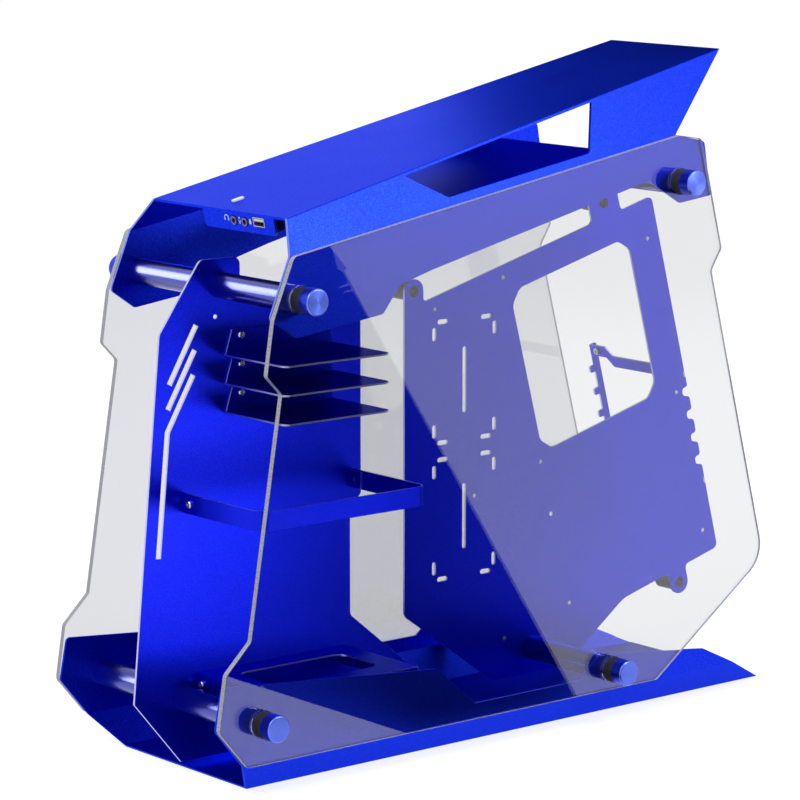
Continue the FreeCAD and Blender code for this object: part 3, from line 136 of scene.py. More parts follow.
class CaseFinish(bpy.types.PropertyGroup):
    """Colours and fine sizes of the case's finishes."""

    sheet_color: bpy.props.FloatVectorProperty(
        name="Sheet",
        description="Colour of the blasted and anodised shells",
        subtype="COLOR",
        size=3,
        default=(0.016, 0.060, 1.0),
    )
    sheet_shade: bpy.props.FloatVectorProperty(
        name="Sheet Shade",
        description="Deeper colour between the shells' grains",
        subtype="COLOR",
        size=3,
        default=(0.006, 0.020, 0.66),
    )
    # The plates' two colours are a darker copy of the sheets' anodised blue, painted
    # shade for the pieces inside
    plate_painted_shade_color: bpy.props.FloatVectorProperty(
        name="Plate",
        description="Colour of the plates and shelves inside",
        subtype="COLOR",
        size=3,
        default=(0.010, 0.026, 0.86),
    )
    plate_grain_painted_shade: bpy.props.FloatVectorProperty(
        name="Plate Grain Painted Shade",
        description="Deeper colour between the plates' grains",
        subtype="COLOR",
        size=3,
        default=(0.004, 0.010, 0.58),
    )
    # Both cut-edge colours are paler than their sheets, a painted highlight along the
    # edges
    edge_highlight_color: bpy.props.FloatVectorProperty(
        name="Cut Edge",
        description="Colour of the plates' bright cut edges",
        subtype="COLOR",
        size=3,
        default=(0.62, 0.62, 0.98),
    )
    outer_edge_highlight_color: bpy.props.FloatVectorProperty(
        name="Outer Edge",
        description="Colour of the shells' cut edges",
        subtype="COLOR",
        size=3,
        default=(0.20, 0.28, 0.95),
    )
    pillar_color: bpy.props.FloatVectorProperty(
        name="Pillar",
        description="Colour of the polished pillars",
        subtype="COLOR",
        size=3,
        default=(0.030, 0.040, 0.40),
    )
    # The knob's paler end and deeper side are painted light and painted shade on one
    # satin finish
    knob_end_painted_light_color: bpy.props.FloatVectorProperty(
        name="Knob",
        description="Colour of the knobs' satin ends",
        subtype="COLOR",
        size=3,
        default=(0.130, 0.215, 1.0),
    )
    knob_side_painted_shade_color: bpy.props.FloatVectorProperty(
        name="Knob Side Painted Shade",
        description="Colour of the knobs' sides",
        subtype="COLOR",
        size=3,
        default=(0.020, 0.050, 0.80),
    )
    glass_color: bpy.props.FloatVectorProperty(
        name="Glass",
        description="Tint of a whole glass panel",
        subtype="COLOR",
        size=3,
        default=(0.765, 0.772, 0.785),
    )
    sheet_thickness: bpy.props.FloatProperty(
        name="Sheet Thickness",
        description="Faces narrower than this count as cut edges",
        unit="LENGTH",
        default=2.1 * MM,
    )
    glass_thickness: bpy.props.FloatProperty(
        name="Glass Thickness",
        description="Faces narrower than this count as ground edges",
        unit="LENGTH",
        default=5.2 * MM,
    )
    hole_size: bpy.props.FloatProperty(
        name="Hole Size",
        description="Glass edges shorter than this stay clear, as round the bushings",
        unit="LENGTH",
        default=24.0 * MM,
    )
    glass_gap: bpy.props.FloatProperty(
        name="Glass Gap",
        description="Air between a glass panel and the flange behind it",
        unit="LENGTH",
        default=0.3 * MM,
    )
    sheet_corner: bpy.props.FloatProperty(
        name="Sheet Corner",
        description="Reach of the rounding at the corners of a sheet's outline",
        unit="LENGTH",
        default=1.5 * MM,
    )
    tray_corner: bpy.props.FloatProperty(
        name="Tray Corner",
        description="Reach of the rounding at the corners of the board tray",
        unit="LENGTH",
        default=4.0 * MM,
    )
    cable_hole_solid: bpy.props.FloatProperty(
        name="Solid Hole",
        description="Diameter of the front plate's round hole in the packed solid",
        unit="LENGTH",
        default=7.0 * MM,
    )
    cable_hole: bpy.props.FloatProperty(
        name="Plate Hole",
        description="Diameter of the front plate's round hole as it looks",
        unit="LENGTH",
        default=3.4 * MM,
    )
    arris: bpy.props.FloatProperty(
        name="Arris",
        description="Width of the small bevel on sheet edges",
        unit="LENGTH",
        default=0.25 * MM,
    )
    glass_arris: bpy.props.FloatProperty(
        name="Glass Arris",
        description="Width of the ground bevel on glass edges",
        unit="LENGTH",
        default=0.6 * MM,
    )
    recess_length: bpy.props.FloatProperty(
        name="Recess Length",
        description="Length of the cross recess in a screw head",
        unit="LENGTH",
        default=3.4 * MM,
    )
    recess_width: bpy.props.FloatProperty(
        name="Recess Width",
        description="Width of the cross recess in a screw head",
        unit="LENGTH",
        default=0.8 * MM,
    )
    recess_depth: bpy.props.FloatProperty(
        name="Recess Depth",
        description="Depth of the cross recess in a screw head",
        unit="LENGTH",
        default=1.2 * MM,
    )
    symbol_height: bpy.props.FloatProperty(
        name="Symbol Height",
        description="Thickness of the printed port symbols",
        unit="LENGTH",
        default=0.06 * MM,
    )


class CaseStage(bpy.types.PropertyGroup):
    """Floor, light and camera."""

    floor_size: bpy.props.FloatProperty(
        name="Floor",
        description="Side of the square floor",
        unit="LENGTH",
        default=14.0,
    )
    camera_place: bpy.props.FloatVectorProperty(
        name="Camera",
        description="Where the camera stands",
        subtype="TRANSLATION",
        size=3,
        default=(2.1007, -1.7798, 0.7282),
    )
    camera_azimuth: bpy.props.FloatProperty(
        name="Azimuth",
        description="Angle of the camera round the case",
        subtype="ANGLE",
        default=math.radians(50.3565),
    )
    camera_elevation: bpy.props.FloatProperty(
        name="Elevation",
        description="Angle of the camera above the horizon",
        subtype="ANGLE",
        default=math.radians(9.8197),
    )
    camera_lens: bpy.props.FloatProperty(
        name="Lens",
        description="Focal length on a 36 mm sensor, in millimetres",
        default=161.2,
    )
    key_power: bpy.props.FloatProperty(
        name="Key",
        description="Power of the large lamp above the front",
        subtype="POWER",
        default=22.0,
    )
    side_power: bpy.props.FloatProperty(
        name="Side",
        description="Power of the low lamp on the near side",
        subtype="POWER",
        default=9.0,
    )
    back_power: bpy.props.FloatProperty(
        name="Back",
        description="Power of the lamp behind the case",
        subtype="POWER",
        default=6.0,
    )
    bar_power: bpy.props.FloatProperty(
        name="Bar",
        description="Power of the tall lamp that shows in the pillars",
        subtype="POWER",
        default=16.0,
    )
    wall_power: bpy.props.FloatProperty(
        name="Wall",
        description="Power of the lamp that lights the near sloping wall",
        subtype="POWER",
        default=8.0,
    )
    plate_power: bpy.props.FloatProperty(
        name="Plate",
        description="Power of the lamp that gives the front plate its sheen",
        subtype="POWER",
        default=1.6,
    )
    floor_glow: bpy.props.FloatProperty(
        name="Floor Glow",
        description="Light that brings the lit floor up to the white surroundings",
        default=0.835,
    )
    fill: bpy.props.FloatProperty(
        name="Fill",
        description="Strength of the surroundings as a light",
        default=0.55,
    )
    inside_share: bpy.props.FloatProperty(
        name="Inside Share",
        description="Share of the surroundings that one sheet shows in another",
        default=0.55,
    )


def finish_of(context):
    """The finish settings of the scene."""
    return context.scene.case_finish


def stage_of(context):
    """The stage settings of the scene."""
    return context.scene.case_stage


# Shader helpers


def add_node(tree, kind, **values):
    """Add a node and set its inputs by name or its properties."""
    node = tree.nodes.new(kind)
    for name, value in values.items():
        if name in node.inputs:
            node.inputs[name].default_value = value
        else:
            setattr(node, name, value)
    return node


def set_inputs(node, values):
    """Set input sockets of a node by their names."""
    for name, value in values.items():
        node.inputs[name].default_value = value


def link(tree, source, target):
    """Join an output socket to an input socket."""
    tree.links.new(source, target)


def blasted_grain_group():
    """Fine blasted grain: a mask of bright grains, a height and a slow cloud."""
    found = bpy.data.node_groups.get("Blasted Grain")
    if found:
        return found
    group = bpy.data.node_groups.new("Blasted Grain", "ShaderNodeTree")
    number = "NodeSocketFloat"
    group.interface.new_socket("Scale", in_out="INPUT", socket_type=number)
    for label in ("Sparkle", "Height", "Cloud"):
        group.interface.new_socket(label, in_out="OUTPUT", socket_type=number)
    start = group.nodes.new("NodeGroupInput")
    end = group.nodes.new("NodeGroupOutput")
    place = group.nodes.new("ShaderNodeTexCoord")
    grain = add_node(group, "ShaderNodeTexNoise", Detail=2.0, Roughness=0.6)
    link(group, place.outputs["Object"], grain.inputs["Vector"])
    link(group, start.outputs["Scale"], grain.inputs["Scale"])
    bright = group.nodes.new("ShaderNodeMapRange")
    set_inputs(bright, {"From Min": 0.42, "From Max": 0.72})
    link(group, grain.outputs["Fac"], bright.inputs["Value"])
    cloud = add_node(group, "ShaderNodeTexNoise", Scale=9.0, Detail=3.0)
    link(group, place.outputs["Object"], cloud.inputs["Vector"])
    link(group, bright.outputs["Result"], end.inputs["Sparkle"])
    link(group, grain.outputs["Fac"], end.inputs["Height"])
    link(group, cloud.outputs["Fac"], end.inputs["Cloud"])
    return group


def surface_of(tree):
    """Surface socket of a material's output."""
    output = next(node for node in tree.nodes if node.type == "OUTPUT_MATERIAL")
    return output.inputs["Surface"]


def new_material(name):
    """A material's tree with its Principled shader and its output."""
    material = bpy.data.materials.new(name)
    material.use_nodes = True
    tree = material.node_tree
    tree.nodes.clear()
    shader = tree.nodes.new("ShaderNodeBsdfPrincipled")
    tree.nodes.new("ShaderNodeOutputMaterial")
    link(tree, shader.outputs["BSDF"], surface_of(tree))
    return material, tree, shader


def mix_shaders(tree, factor, first, second):
    """Show a second shader in place of a first, by a factor socket."""
    mix = tree.nodes.new("ShaderNodeMixShader")
    link(tree, factor, mix.inputs[0])
    link(tree, first.outputs["BSDF"], mix.inputs[1])
    link(tree, second.outputs["BSDF"], mix.inputs[2])
    link(tree, mix.outputs["Shader"], surface_of(tree))


def add_grain(tree, scale):
    """Place the blasted grain group in a material."""
    grain = tree.nodes.new("ShaderNodeGroup")
    grain.node_tree = blasted_grain_group()
    grain.inputs["Scale"].default_value = scale
    return grain


def add_bump(tree, shader, height, strength):
    """Feed a height to the shader's normal."""
    bump = add_node(tree, "ShaderNodeBump", Strength=strength, Distance=GRAIN_DEPTH)
    link(tree, height, bump.inputs["Height"])
    link(tree, bump.outputs["Normal"], shader.inputs["Normal"])


def mix_colors(tree, factor, low, high):
    """Colour socket that runs from low to high with a factor socket."""
    mix = tree.nodes.new("ShaderNodeMix")
    mix.data_type = "RGBA"
    mix.inputs[MIX_LOW].default_value = (*low, 1.0)
    mix.inputs[MIX_HIGH].default_value = (*high, 1.0)
    link(tree, factor, mix.inputs[MIX_FACTOR])
    return mix.outputs[MIX_COLOR]


def spread(tree, value, low, high):
    """Value socket mapped from 0..1 to low..high."""
    node = tree.nodes.new("ShaderNodeMapRange")
    set_inputs(node, {"To Min": low, "To Max": high})
    link(tree, value, node.inputs["Value"])
    return node.outputs["Result"]


def combine(tree, operation, first, second):
    """Value socket made of a socket and another socket or a number."""
    node = add_node(tree, "ShaderNodeMath", operation=operation)
    link(tree, first, node.inputs[0])
    if isinstance(second, float):
        node.inputs[1].default_value = second
    else:
        link(tree, second, node.inputs[1])
    return node.outputs["Value"]


def grained(name, look, patterns):
    """Material whose colour and roughness follow two of the grain's patterns."""
    material, tree, shader = new_material(name)
    texture = add_grain(tree, look.grain)
    tone, gloss = (texture.outputs[pattern] for pattern in patterns)
    color = mix_colors(tree, tone, look.shade, look.color)
    link(tree, color, shader.inputs["Base Color"])
    link(tree, spread(tree, gloss, *look.roughness), shader.inputs["Roughness"])
    if look.bump:
        add_bump(tree, shader, texture.outputs["Height"], look.bump)
    return material, shader


def metal(name, look, coat=0.0, tint=WHITE):
    """Metal with bright grains and slow clouds in its gloss."""
    found = bpy.data.materials.get(name)
    if found:
        return found
    material, shader = grained(name, look, ("Sparkle", "Cloud"))
    set_inputs(shader, {"Metallic": 1.0, "Specular Tint": tint})
    set_inputs(shader, {"Coat Weight": coat, "Coat Roughness": COAT_ROUGHNESS})
    return material


def plastic(name, look):
    """Plastic or rubber with slow clouds in its colour."""
    found = bpy.data.materials.get(name)
    if found:
        return found
    return grained(name, look, ("Cloud", "Sparkle"))[0]


def shaded(color, share, roughness, grain, bump):
    """Look whose shade is a share of its colour."""
    return Look(color, [part * share for part in color], roughness, grain, bump)


def sheet_material(finish):
    """Blasted and anodised finish of the shells."""
    look = Look(finish.sheet_color, finish.sheet_shade, (0.30, 0.42), 1100.0, 0.35)
    return metal("Blasted Sheet", look, coat=0.04, tint=BLUE_SHEEN)


def plate_painted_shade_material(finish):
    """Anodised finish of the plates and shelves inside, darker than the shells' as
    painted shade.
    """
    look = Look(finish.plate_painted_shade_color, finish.plate_grain_painted_shade, (0.32, 0.42), 1300.0, 0.25)
    return metal("Anodised Plate", look, coat=0.06, tint=BLUE_SHEEN)


def edge_highlight_material(finish):
    """Cut edge of the plates inside, pale as a painted highlight."""
    look = shaded(finish.edge_highlight_color, 0.8, (0.25, 0.4), 1500.0, 0.1)
    return metal("Cut Edge", look)


def outer_edge_highlight_material(finish):
    """Cut edge of the shells, bluer than the plates' and paler than the sheet as a
    painted highlight.
    """
    look = shaded(finish.outer_edge_highlight_color, 0.8, (0.3, 0.4), 1500.0, 0.1)
    return metal("Outer Edge", look)


def pillar_material(finish):
    """Polished round bar."""
    look = shaded(finish.pillar_color, 0.85, (0.12, 0.2), 2500.0, 0.04)
    return metal("Polished Bar", look, coat=1.0)


def knob_side_painted_shade_material(finish):
    """Satin finish of a knob's side and stud, deeper blue as painted shade."""
    look = shaded(finish.knob_side_painted_shade_color, 0.78, (0.24, 0.34), 1800.0, 0.1)
    return metal("Satin Knob", look, coat=0.3)


def knob_end_painted_light_material(finish, corner):
    """Satin end of a knob, paler than its side as painted light, with turned rings
    round its own axis.
    """
    name = f"Turned Knob {corner}"
    found = bpy.data.materials.get(name)
    if found:
        return found
    look = shaded(finish.knob_end_painted_light_color, 0.78, (0.24, 0.34), 1800.0, 0.0)
    material = metal(name, look, coat=0.4)
    tree = material.node_tree
    shader = next(node for node in tree.nodes if node.type == "BSDF_PRINCIPLED")
    low, high = (Vector(end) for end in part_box(f"knob_near_{corner}"))
    middle = (low + high) / 2
    place = tree.nodes.new("ShaderNodeTexCoord")
    centre = tree.nodes.new("ShaderNodeMapping")
    centre.inputs["Location"].default_value = (0.0, -middle.y, -middle.z)
    link(tree, place.outputs["Object"], centre.inputs["Vector"])
    rings = add_node(tree, "ShaderNodeTexWave", wave_type="RINGS", rings_direction="X")
    set_inputs(rings, {"Scale": 420.0, "Distortion": 0.6})
    link(tree, centre.outputs["Vector"], rings.inputs["Vector"])
    add_bump(tree, shader, rings.outputs["Fac"], strength=0.18)
    return material


def steel_material():
    """Plated screws and port."""
    look = Look((0.66, 0.67, 0.72), (0.5, 0.5, 0.56), (0.2, 0.35), 2500.0, 0.08)
    return metal("Plated Steel", look)


def rim_material():
    """Dark plated rim of an audio socket."""
    look = Look((0.20, 0.19, 0.32), (0.12, 0.11, 0.2), (0.25, 0.4), 2500.0, 0.08)
    return metal("Dark Rim", look)


def brass_material():
    """Turned and plated brass."""
    look = Look((0.80, 0.80, 0.86), (0.66, 0.66, 0.74), (0.22, 0.36), 2000.0, 0.08)
    return metal("Plated Brass", look)


def rubber_material():
    """Black moulded rubber."""
    dark, deep = (0.016, 0.016, 0.018), (0.008, 0.008, 0.01)
    return plastic("Black Rubber", Look(dark, deep, (0.45, 0.65), 1600.0, 0.2))


def dark_plastic_material():
    """Dark moulded plastic."""
    look = Look((0.03, 0.03, 0.05), (0.015, 0.015, 0.03), (0.35, 0.5), 1400.0, 0.15)
    return plastic("Dark Plastic", look)


def white_plastic_material():
    """White moulded plastic of the button, the tongue and the symbols."""
    look = Look((0.86, 0.87, 0.9), (0.78, 0.79, 0.84), (0.25, 0.35), 1400.0, 0.05)
    return plastic("White Plastic", look)


def board_material():
    """Solder mask of the small circuit board."""
    look = Look((0.012, 0.03, 0.016), (0.006, 0.016, 0.01), (0.3, 0.45), 900.0, 0.1)
    return plastic("Solder Mask", look)


def glass_material(finish):
    """Clear glass that lets lamp light through to the pieces behind it."""
    found = bpy.data.materials.get("Clear Glass")
    if found:
        return found
    material, tree, shader = new_material("Clear Glass")
    tint = (*finish.glass_color, 1.0)
    set_inputs(shader, {"Base Color": tint, "Transmission Weight": 1.0, "IOR": 1.65})
    grain = add_grain(tree, scale=60.0)
    gloss = spread(tree, grain.outputs["Cloud"], low=0.0, high=0.01)
    link(tree, gloss, shader.inputs["Roughness"])
    path = tree.nodes.new("ShaderNodeLightPath")
    clear = add_node(tree, "ShaderNodeBsdfTransparent", Color=tint)
    mix_shaders(tree, path.outputs["Is Shadow Ray"], shader, clear)
    return material


def ground_edge_material():
    """Ground and lightly polished edge of the glass."""
    found = bpy.data.materials.get("Ground Edge")
    if found:
        return found
    look = Look((0.86, 0.87, 0.93), (0.62, 0.64, 0.72), (0.25, 0.4), 1600.0, 0.1)
    material, shader = grained("Ground Edge", look, ("Cloud", "Sparkle"))
    set_inputs(shader, {"Transmission Weight": 0.5, "IOR": 1.5})
    return material


# Mesh helpers


def solid_copy(node, flat=0.5):
    """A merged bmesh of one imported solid, with flat areas as single faces."""
    mesh = bmesh.new()
    mesh.from_mesh(frame["nodes"][node].data)
    bmesh.ops.remove_doubles(mesh, verts=mesh.verts, dist=MERGE)
    bmesh.ops.dissolve_limit(
        mesh, angle_limit=math.radians(flat), verts=mesh.verts, edges=mesh.edges
    )
    return mesh


def smooth_patches(mesh, angle=25.0):
    """Groups of faces that meet without a crease."""
    limit = math.radians(angle)
    left = set(mesh.faces)
    while left:
        patch = {left.pop()}
        rim = list(patch)
        while rim:
            for edge in rim.pop().edges:
                if not edge.is_manifold or edge.calc_face_angle(0.0) > limit:
                    continue
                fresh = [face for face in edge.link_faces if face in left]
                left.difference_update(fresh)
                patch.update(fresh)
                rim.extend(fresh)
        yield patch


def narrow_faces(mesh, width, shortest=0.0):
    """Faces of patches narrower than width, such as the cut edges of a sheet."""
    found = []
    for patch in smooth_patches(mesh):
        corners = [vert.co for face in patch for vert in face.verts]
        if max((corner - corners[0]).length for corner in corners) < shortest:
            continue
        area = sum(face.calc_area() for face in patch)
        rim = sum(
            edge.calc_length()
            for face in patch
            for edge in face.edges
            if not patch.issuperset(edge.link_faces)
        )
        if 2 * area < width * rim:
            found.extend(patch)
    return found


def is_sharp(edge, angle):
    """Whether two faces meet at an edge by more than an angle in degrees."""
    return edge.is_manifold and edge.calc_face_angle(0.0) > math.radians(angle)


def bevel_edges(mesh, edges, width, segments):
    """Bevel the given edges with a round profile."""
    bmesh.ops.bevel(
        mesh,
        geom=edges,
        offset=width,
        offset_type="OFFSET",
        affect="EDGES",
        segments=segments,
        profile=0.5,
        material=-1,
        clamp_overlap=False,
    )


def bevel_sharp(mesh, width, angle=30.0, segments=2):
    """Bevel every edge sharper than angle."""
    sharp = [edge for edge in mesh.edges if is_sharp(edge, angle)]
    bevel_edges(mesh, sharp, width, segments)


def outline_corners(mesh, cut_faces, angle=20.0):
    """Corners of a sheet's outline: sharp edges between two of its cut faces."""
    rim = set(cut_faces)
    return [
        edge
        for edge in mesh.edges
        if is_sharp(edge, angle) and rim.issuperset(edge.link_faces)
    ]


def round_corners(mesh, cut_faces, reach, room=2.2, segments=5):
    """Round the plain corners of a sheet's outline where both sides are long enough."""
    corners = [
        edge
        for edge in outline_corners(mesh, cut_faces)
        if all(len(vert.link_edges) == 3 for vert in edge.verts)
        and all(
            face.calc_area() > room * reach * edge.calc_length()
            for face in edge.link_faces
        )
    ]
    bevel_edges(mesh, corners, reach, segments)


def outline_edges(corner, vert):
    """Edges of the two cut faces that leave a corner at one of its ends."""
    return [
        next(edge for edge in face.edges if vert in edge.verts and edge != corner)
        for face in corner.link_faces
    ]


def arc_points(corner, start, stop, count):
    """Points on the arc that rounds a corner between two points at one distance."""
    middle = (start + stop) / 2 - corner
    centre = corner + middle * ((start - corner).length / middle.length) ** 2
    radius = (start - centre).length
    first, last = ((end - centre).normalized() for end in (start, stop))
    return [
        centre + radius * first.slerp(last, step / count) for step in range(1, count)
    ]


def split_near(edge, vert, distances):
    """New vertices on an edge, at falling distances from one end."""
    fresh = []
    length = edge.calc_length()
    for distance in distances:
        edge, new = bmesh.utils.edge_split(edge, vert, distance / length)
        length = distance
        fresh.append(new)
    return fresh


def arc_corner(mesh, corner, reach, steps=3):
    """Turn one corner of a sheet's outline into an arc."""
    distances = [reach * (steps - number) / steps for number in range(steps)]
    ends = [(vert, outline_edges(corner, vert)) for vert in corner.verts]
    sides = [
        [split_near(edge, vert, distances) for edge in pair] for vert, pair in ends
    ]
    for first, last in zip(*sides):
        for pair in zip(first, last):
            bmesh.ops.connect_verts(mesh, verts=pair)
    for (vert, _), (one, other) in zip(ends, sides):
        chain = [*one[1:], vert, *other[:0:-1]]
        places = arc_points(vert.co, one[0].co, other[0].co, 2 * steps)
        for item, place in zip(chain, places):
            item.co = place


def round_outline(mesh, cut_faces, reach, share=0.4, shortest=0.5 * MM):
    """Round every corner of a flat plate's outline, less where a side is short."""
    corners = []
    for edge in outline_corners(mesh, cut_faces):
        sides = [side for vert in edge.verts for side in outline_edges(edge, vert)]
        room = min(reach, share * min(side.calc_length() for side in sides))
        if room > shortest:
            corners.append((edge, room))
    for edge, room in corners:
        arc_corner(mesh, edge, room)


def across_edges(face, along=0.9):
    """Edges of a cut face that run through the plate, along X."""
    return [
        edge
        for edge in face.edges
        if abs(edge.verts[0].co.x - edge.verts[1].co.x) > along * edge.calc_length()
    ]


def round_ends(mesh, longest=1.5 * MM, opposite=-0.99):
    """Chains of short cut faces that turn half round between two long sides."""
    short = {
        face
        for patch in smooth_patches(mesh)
        for face in patch
        if len(across_edges(face)) == 2
        and face.calc_area() < longest * across_edges(face)[0].calc_length()
    }
    while short:
        chain = [short.pop()]
        for first in (True, False):
            while True:
                face = chain[0] if first else chain[-1]
                fresh = [
                    other
                    for edge in across_edges(face)
                    for other in edge.link_faces
                    if other in short
                ]
                if not fresh:
                    break
                short.discard(fresh[0])
                chain.insert(0 if first else len(chain), fresh[0])
        ends = [
            edge
            for face in (chain[0], chain[-1])
            for edge in across_edges(face)
            if not set(chain).issuperset(edge.link_faces)
        ]
        sides = [
            next(face for face in edge.link_faces if face not in chain) for edge in ends
        ]
        if len(ends) == 2 and sides[0].normal.dot(sides[1].normal) < opposite:
            yield chain, ends


def square_slots(mesh, share=0.75):
    """Give the round-ended slots of an upright plate square ends."""
    for chain, (first, last) in list(round_ends(mesh)):
        start, stop = (
            (edge.verts[0].co + edge.verts[1].co) / 2 for edge in (first, last)
        )
        middle = (start + stop) / 2
        tip = sum((face.calc_center_median() for face in chain), Vector()) / len(chain)
        out = (tip - middle).normalized() * share * (stop - start).length / 2
        inner = [
            next(edge for edge in across_edges(face) if edge in across_edges(other))
            for face, other in zip(chain, chain[1:])
        ]
        if (inner[0].verts[0].co - start).length > (inner[0].verts[0].co - stop).length:
            start, stop = stop, start
        for number, edge in enumerate(inner):
            place = start.lerp(stop, number / (len(inner) - 1)) + out
            for vert in edge.verts:
                vert.co.yz = place.yz


def resize_holes(mesh, found, wanted, leeway=0.3 * MM):
    """Give the round holes of one diameter another diameter, in the plate's plane."""
    for patch in smooth_patches(mesh):
        corners = {vert for face in patch for vert in face.verts}
        middle = sum((vert.co for vert in corners), Vector()) / len(corners)
        spans = [(vert.co - middle).yz.length for vert in corners]
        if max(spans) - min(spans) > leeway or abs(2 * max(spans) - found) > leeway:
            continue
        for vert in corners:
            vert.co.yz = middle.yz + (vert.co - middle).yz * (wanted / found)


def shade_smooth(piece, angle=28.0):
    """Smooth shading that keeps creases sharp and large faces flat."""
    piece.data.shade_smooth()
    piece.data.set_sharp_from_angle(angle=math.radians(angle))
    flat = piece.modifiers.new("flat_faces", "WEIGHTED_NORMAL")
    flat.keep_sharp = True
    flat.weight = 100


def place_piece(data, name, materials, slot, body="case"):
    """Make a mesh a piece that rides on a body."""
    piece = bpy.data.objects.new(name, data)
    bpy.context.scene.collection.objects.link(piece)
    for material in materials:
        data.materials.append(material)
    shade_smooth(piece)
    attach(piece, body)
    return piece


def mesh_data(mesh, name):
    """Turn a bmesh into mesh data."""
    data = bpy.data.meshes.new(name)
    mesh.to_mesh(data)
    mesh.free()
    return data


def slot_of(node):
    """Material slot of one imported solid."""
    rows = {row["node"]: row["material_slot"] for row in frame["record"]["subparts"]}
    return rows[node]


def replace_solid(data, node, materials, body="case"):
    """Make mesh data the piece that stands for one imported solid."""
    name = f"{node}_skin"
    data.name = name
    piece = place_piece(data, name, materials, slot_of(node), body)
    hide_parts(node)


def piece_from(mesh, node, materials, body="case"):
    """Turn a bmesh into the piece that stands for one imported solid."""
    replace_solid(mesh_data(mesh, f"{node}_skin"), node, materials, body)


def dress_sheet(finish, node, material, edge):
    """Finer copy of a folded sheet with cut edges in a pale finish, a painted
    highlight.
    """
    mesh = solid_copy(node)
    if node == "front_plate":
        resize_holes(mesh, finish.cable_hole_solid, finish.cable_hole)
        square_slots(mesh)
    cut_faces = narrow_faces(mesh, finish.sheet_thickness)
    for face in cut_faces:
        face.material_index = SECOND_FINISH
    if node == "motherboard_tray":
        round_outline(mesh, cut_faces, finish.tray_corner)
    else:
        round_corners(mesh, cut_faces, finish.sheet_corner)
    bevel_sharp(mesh, finish.arris)
    piece_from(mesh, node, [material, edge])


def dress_plates(finish, *nodes):
    """Dress sheets inside the case with the plate finish, darkened as painted shade."""
    for node in nodes:
        dress_sheet(finish, node, plate_painted_shade_material(finish), edge_highlight_material(finish))


def dress_solid(node, material, arris, body="case"):
    """Finer copy of a plain solid with small bevels."""
    mesh = solid_copy(node)
    bevel_sharp(mesh, arris)
    piece_from(mesh, node, [material], body)


def dress_knob(finish, side, corner, end_depth=1.5 * MM):
    """Finer copy of a knob with a turned end, paler as painted light."""
    node = f"knob_{side}_{corner}"
    mesh = solid_copy(node)
    outer = max(abs(vert.co.x) for vert in mesh.verts)
    for face in mesh.faces:
        at_end = all(abs(vert.co.x) > outer - end_depth for vert in face.verts)
        if not at_end:
            face.material_index = SECOND_FINISH
    bevel_sharp(mesh, ARRIS["knob"])
    piece_from(mesh, node, [knob_end_painted_light_material(finish, corner), knob_side_painted_shade_material(finish)])


def dress_glass(finish, node):
    """Finer copy of a glass panel, held just off its flanges."""
    mesh = solid_copy(node)
    inner = min(abs(vert.co.x) for vert in mesh.verts)
    for face in narrow_faces(mesh, finish.glass_thickness, finish.hole_size):
        face.material_index = SECOND_FINISH
    for vert in mesh.verts:
        if abs(vert.co.x) < inner + finish.glass_gap:
            vert.co.x += math.copysign(finish.glass_gap, vert.co.x)
    bevel_sharp(mesh, finish.glass_arris)
    piece_from(mesh, node, [glass_material(finish), ground_edge_material()])


def screw_heads(mesh, radii=(2.0 * MM, 2.6 * MM), leeway=0.05 * MM, fewest=8):
    """Middles and directions of the screw heads' round end faces, by their radius."""
    smallest, largest = radii
    heads = []
    for face in mesh.faces:
        middle = face.calc_center_median()
        spans = [(vert.co - middle).length for vert in face.verts]
        round_enough = max(spans) - min(spans) < leeway and len(spans) > fewest
        if round_enough and smallest < spans[0] < largest:
            heads.append((middle, face.normal.copy()))
    return heads


def cross_cutter(heads, finish):
    """Crossed blocks that cut the recess of each screw head."""
    cutter = bmesh.new()
    long, wide, deep = finish.recess_length, finish.recess_width, finish.recess_depth
    for middle, normal in heads:
        turn = normal.to_track_quat("Z", "Y").to_matrix().to_4x4()
        for size in ((long, wide, deep * 2), (wide, long, deep * 2)):
            block = Matrix.Translation(middle) @ turn @ Matrix.Diagonal((*size, 1.0))
            bmesh.ops.create_cube(cutter, size=1.0, matrix=block)
    return mesh_data(cutter, "cross_cutter")


def dress_screws(context, node):
    """Finer copy of a set of screws with cross recesses in their heads."""
    mesh = solid_copy(node)
    cutter_data = cross_cutter(screw_heads(mesh), finish_of(context))
    blank = bpy.data.objects.new("screw_blank", mesh_data(mesh, "screw_blank"))
    cutter = bpy.data.objects.new("cross_cutter", cutter_data)
    for item in (blank, cutter):
        context.scene.collection.objects.link(item)
    recess = blank.modifiers.new("recess", "BOOLEAN")
    recess.operation = "DIFFERENCE"
    recess.solver = "EXACT"
    recess.use_self = True
    recess.object = cutter
    graph = context.evaluated_depsgraph_get()
    data = bpy.data.meshes.new_from_object(blank.evaluated_get(graph))
    data.materials.clear()
    for item in (blank, cutter):
        bpy.data.objects.remove(item)
    replace_solid(data, node, [steel_material()])


def mount_row(name):
    """One of the record's mounts."""
    return next(row for row in frame["record"]["mounts"] if row["name"] == name)


def mount_of(name):
    """Place and outward direction of one of the record's mounts."""
    row = mount_row(name)
    return Vector(row["pos_m"]), Vector(row["axis"]).normalized()


def lip_frame(point):
    """Frame on the socket lip: X across, Y up the lip, Z out of it."""
    outward = mount_of("usb")[1]
    across = Vector((1.0, 0.0, 0.0))
    up = outward.cross(across)
    turn = Matrix((across, up, outward)).transposed().to_4x4()
    return Matrix.Translation(point) @ turn


class CASE_OT_folded_shells(bpy.types.Operator):
    """Dress the folded top and base"""

    bl_idname = "case.folded_shells"
    bl_label = "Folded Shells"

    def execute(self, context):
        finish = finish_of(context)
        for node in ("top_shell", "base_shell"):
            dress_sheet(
                finish, node, sheet_material(finish), outer_edge_highlight_material(finish)
            )
        return {"FINISHED"}


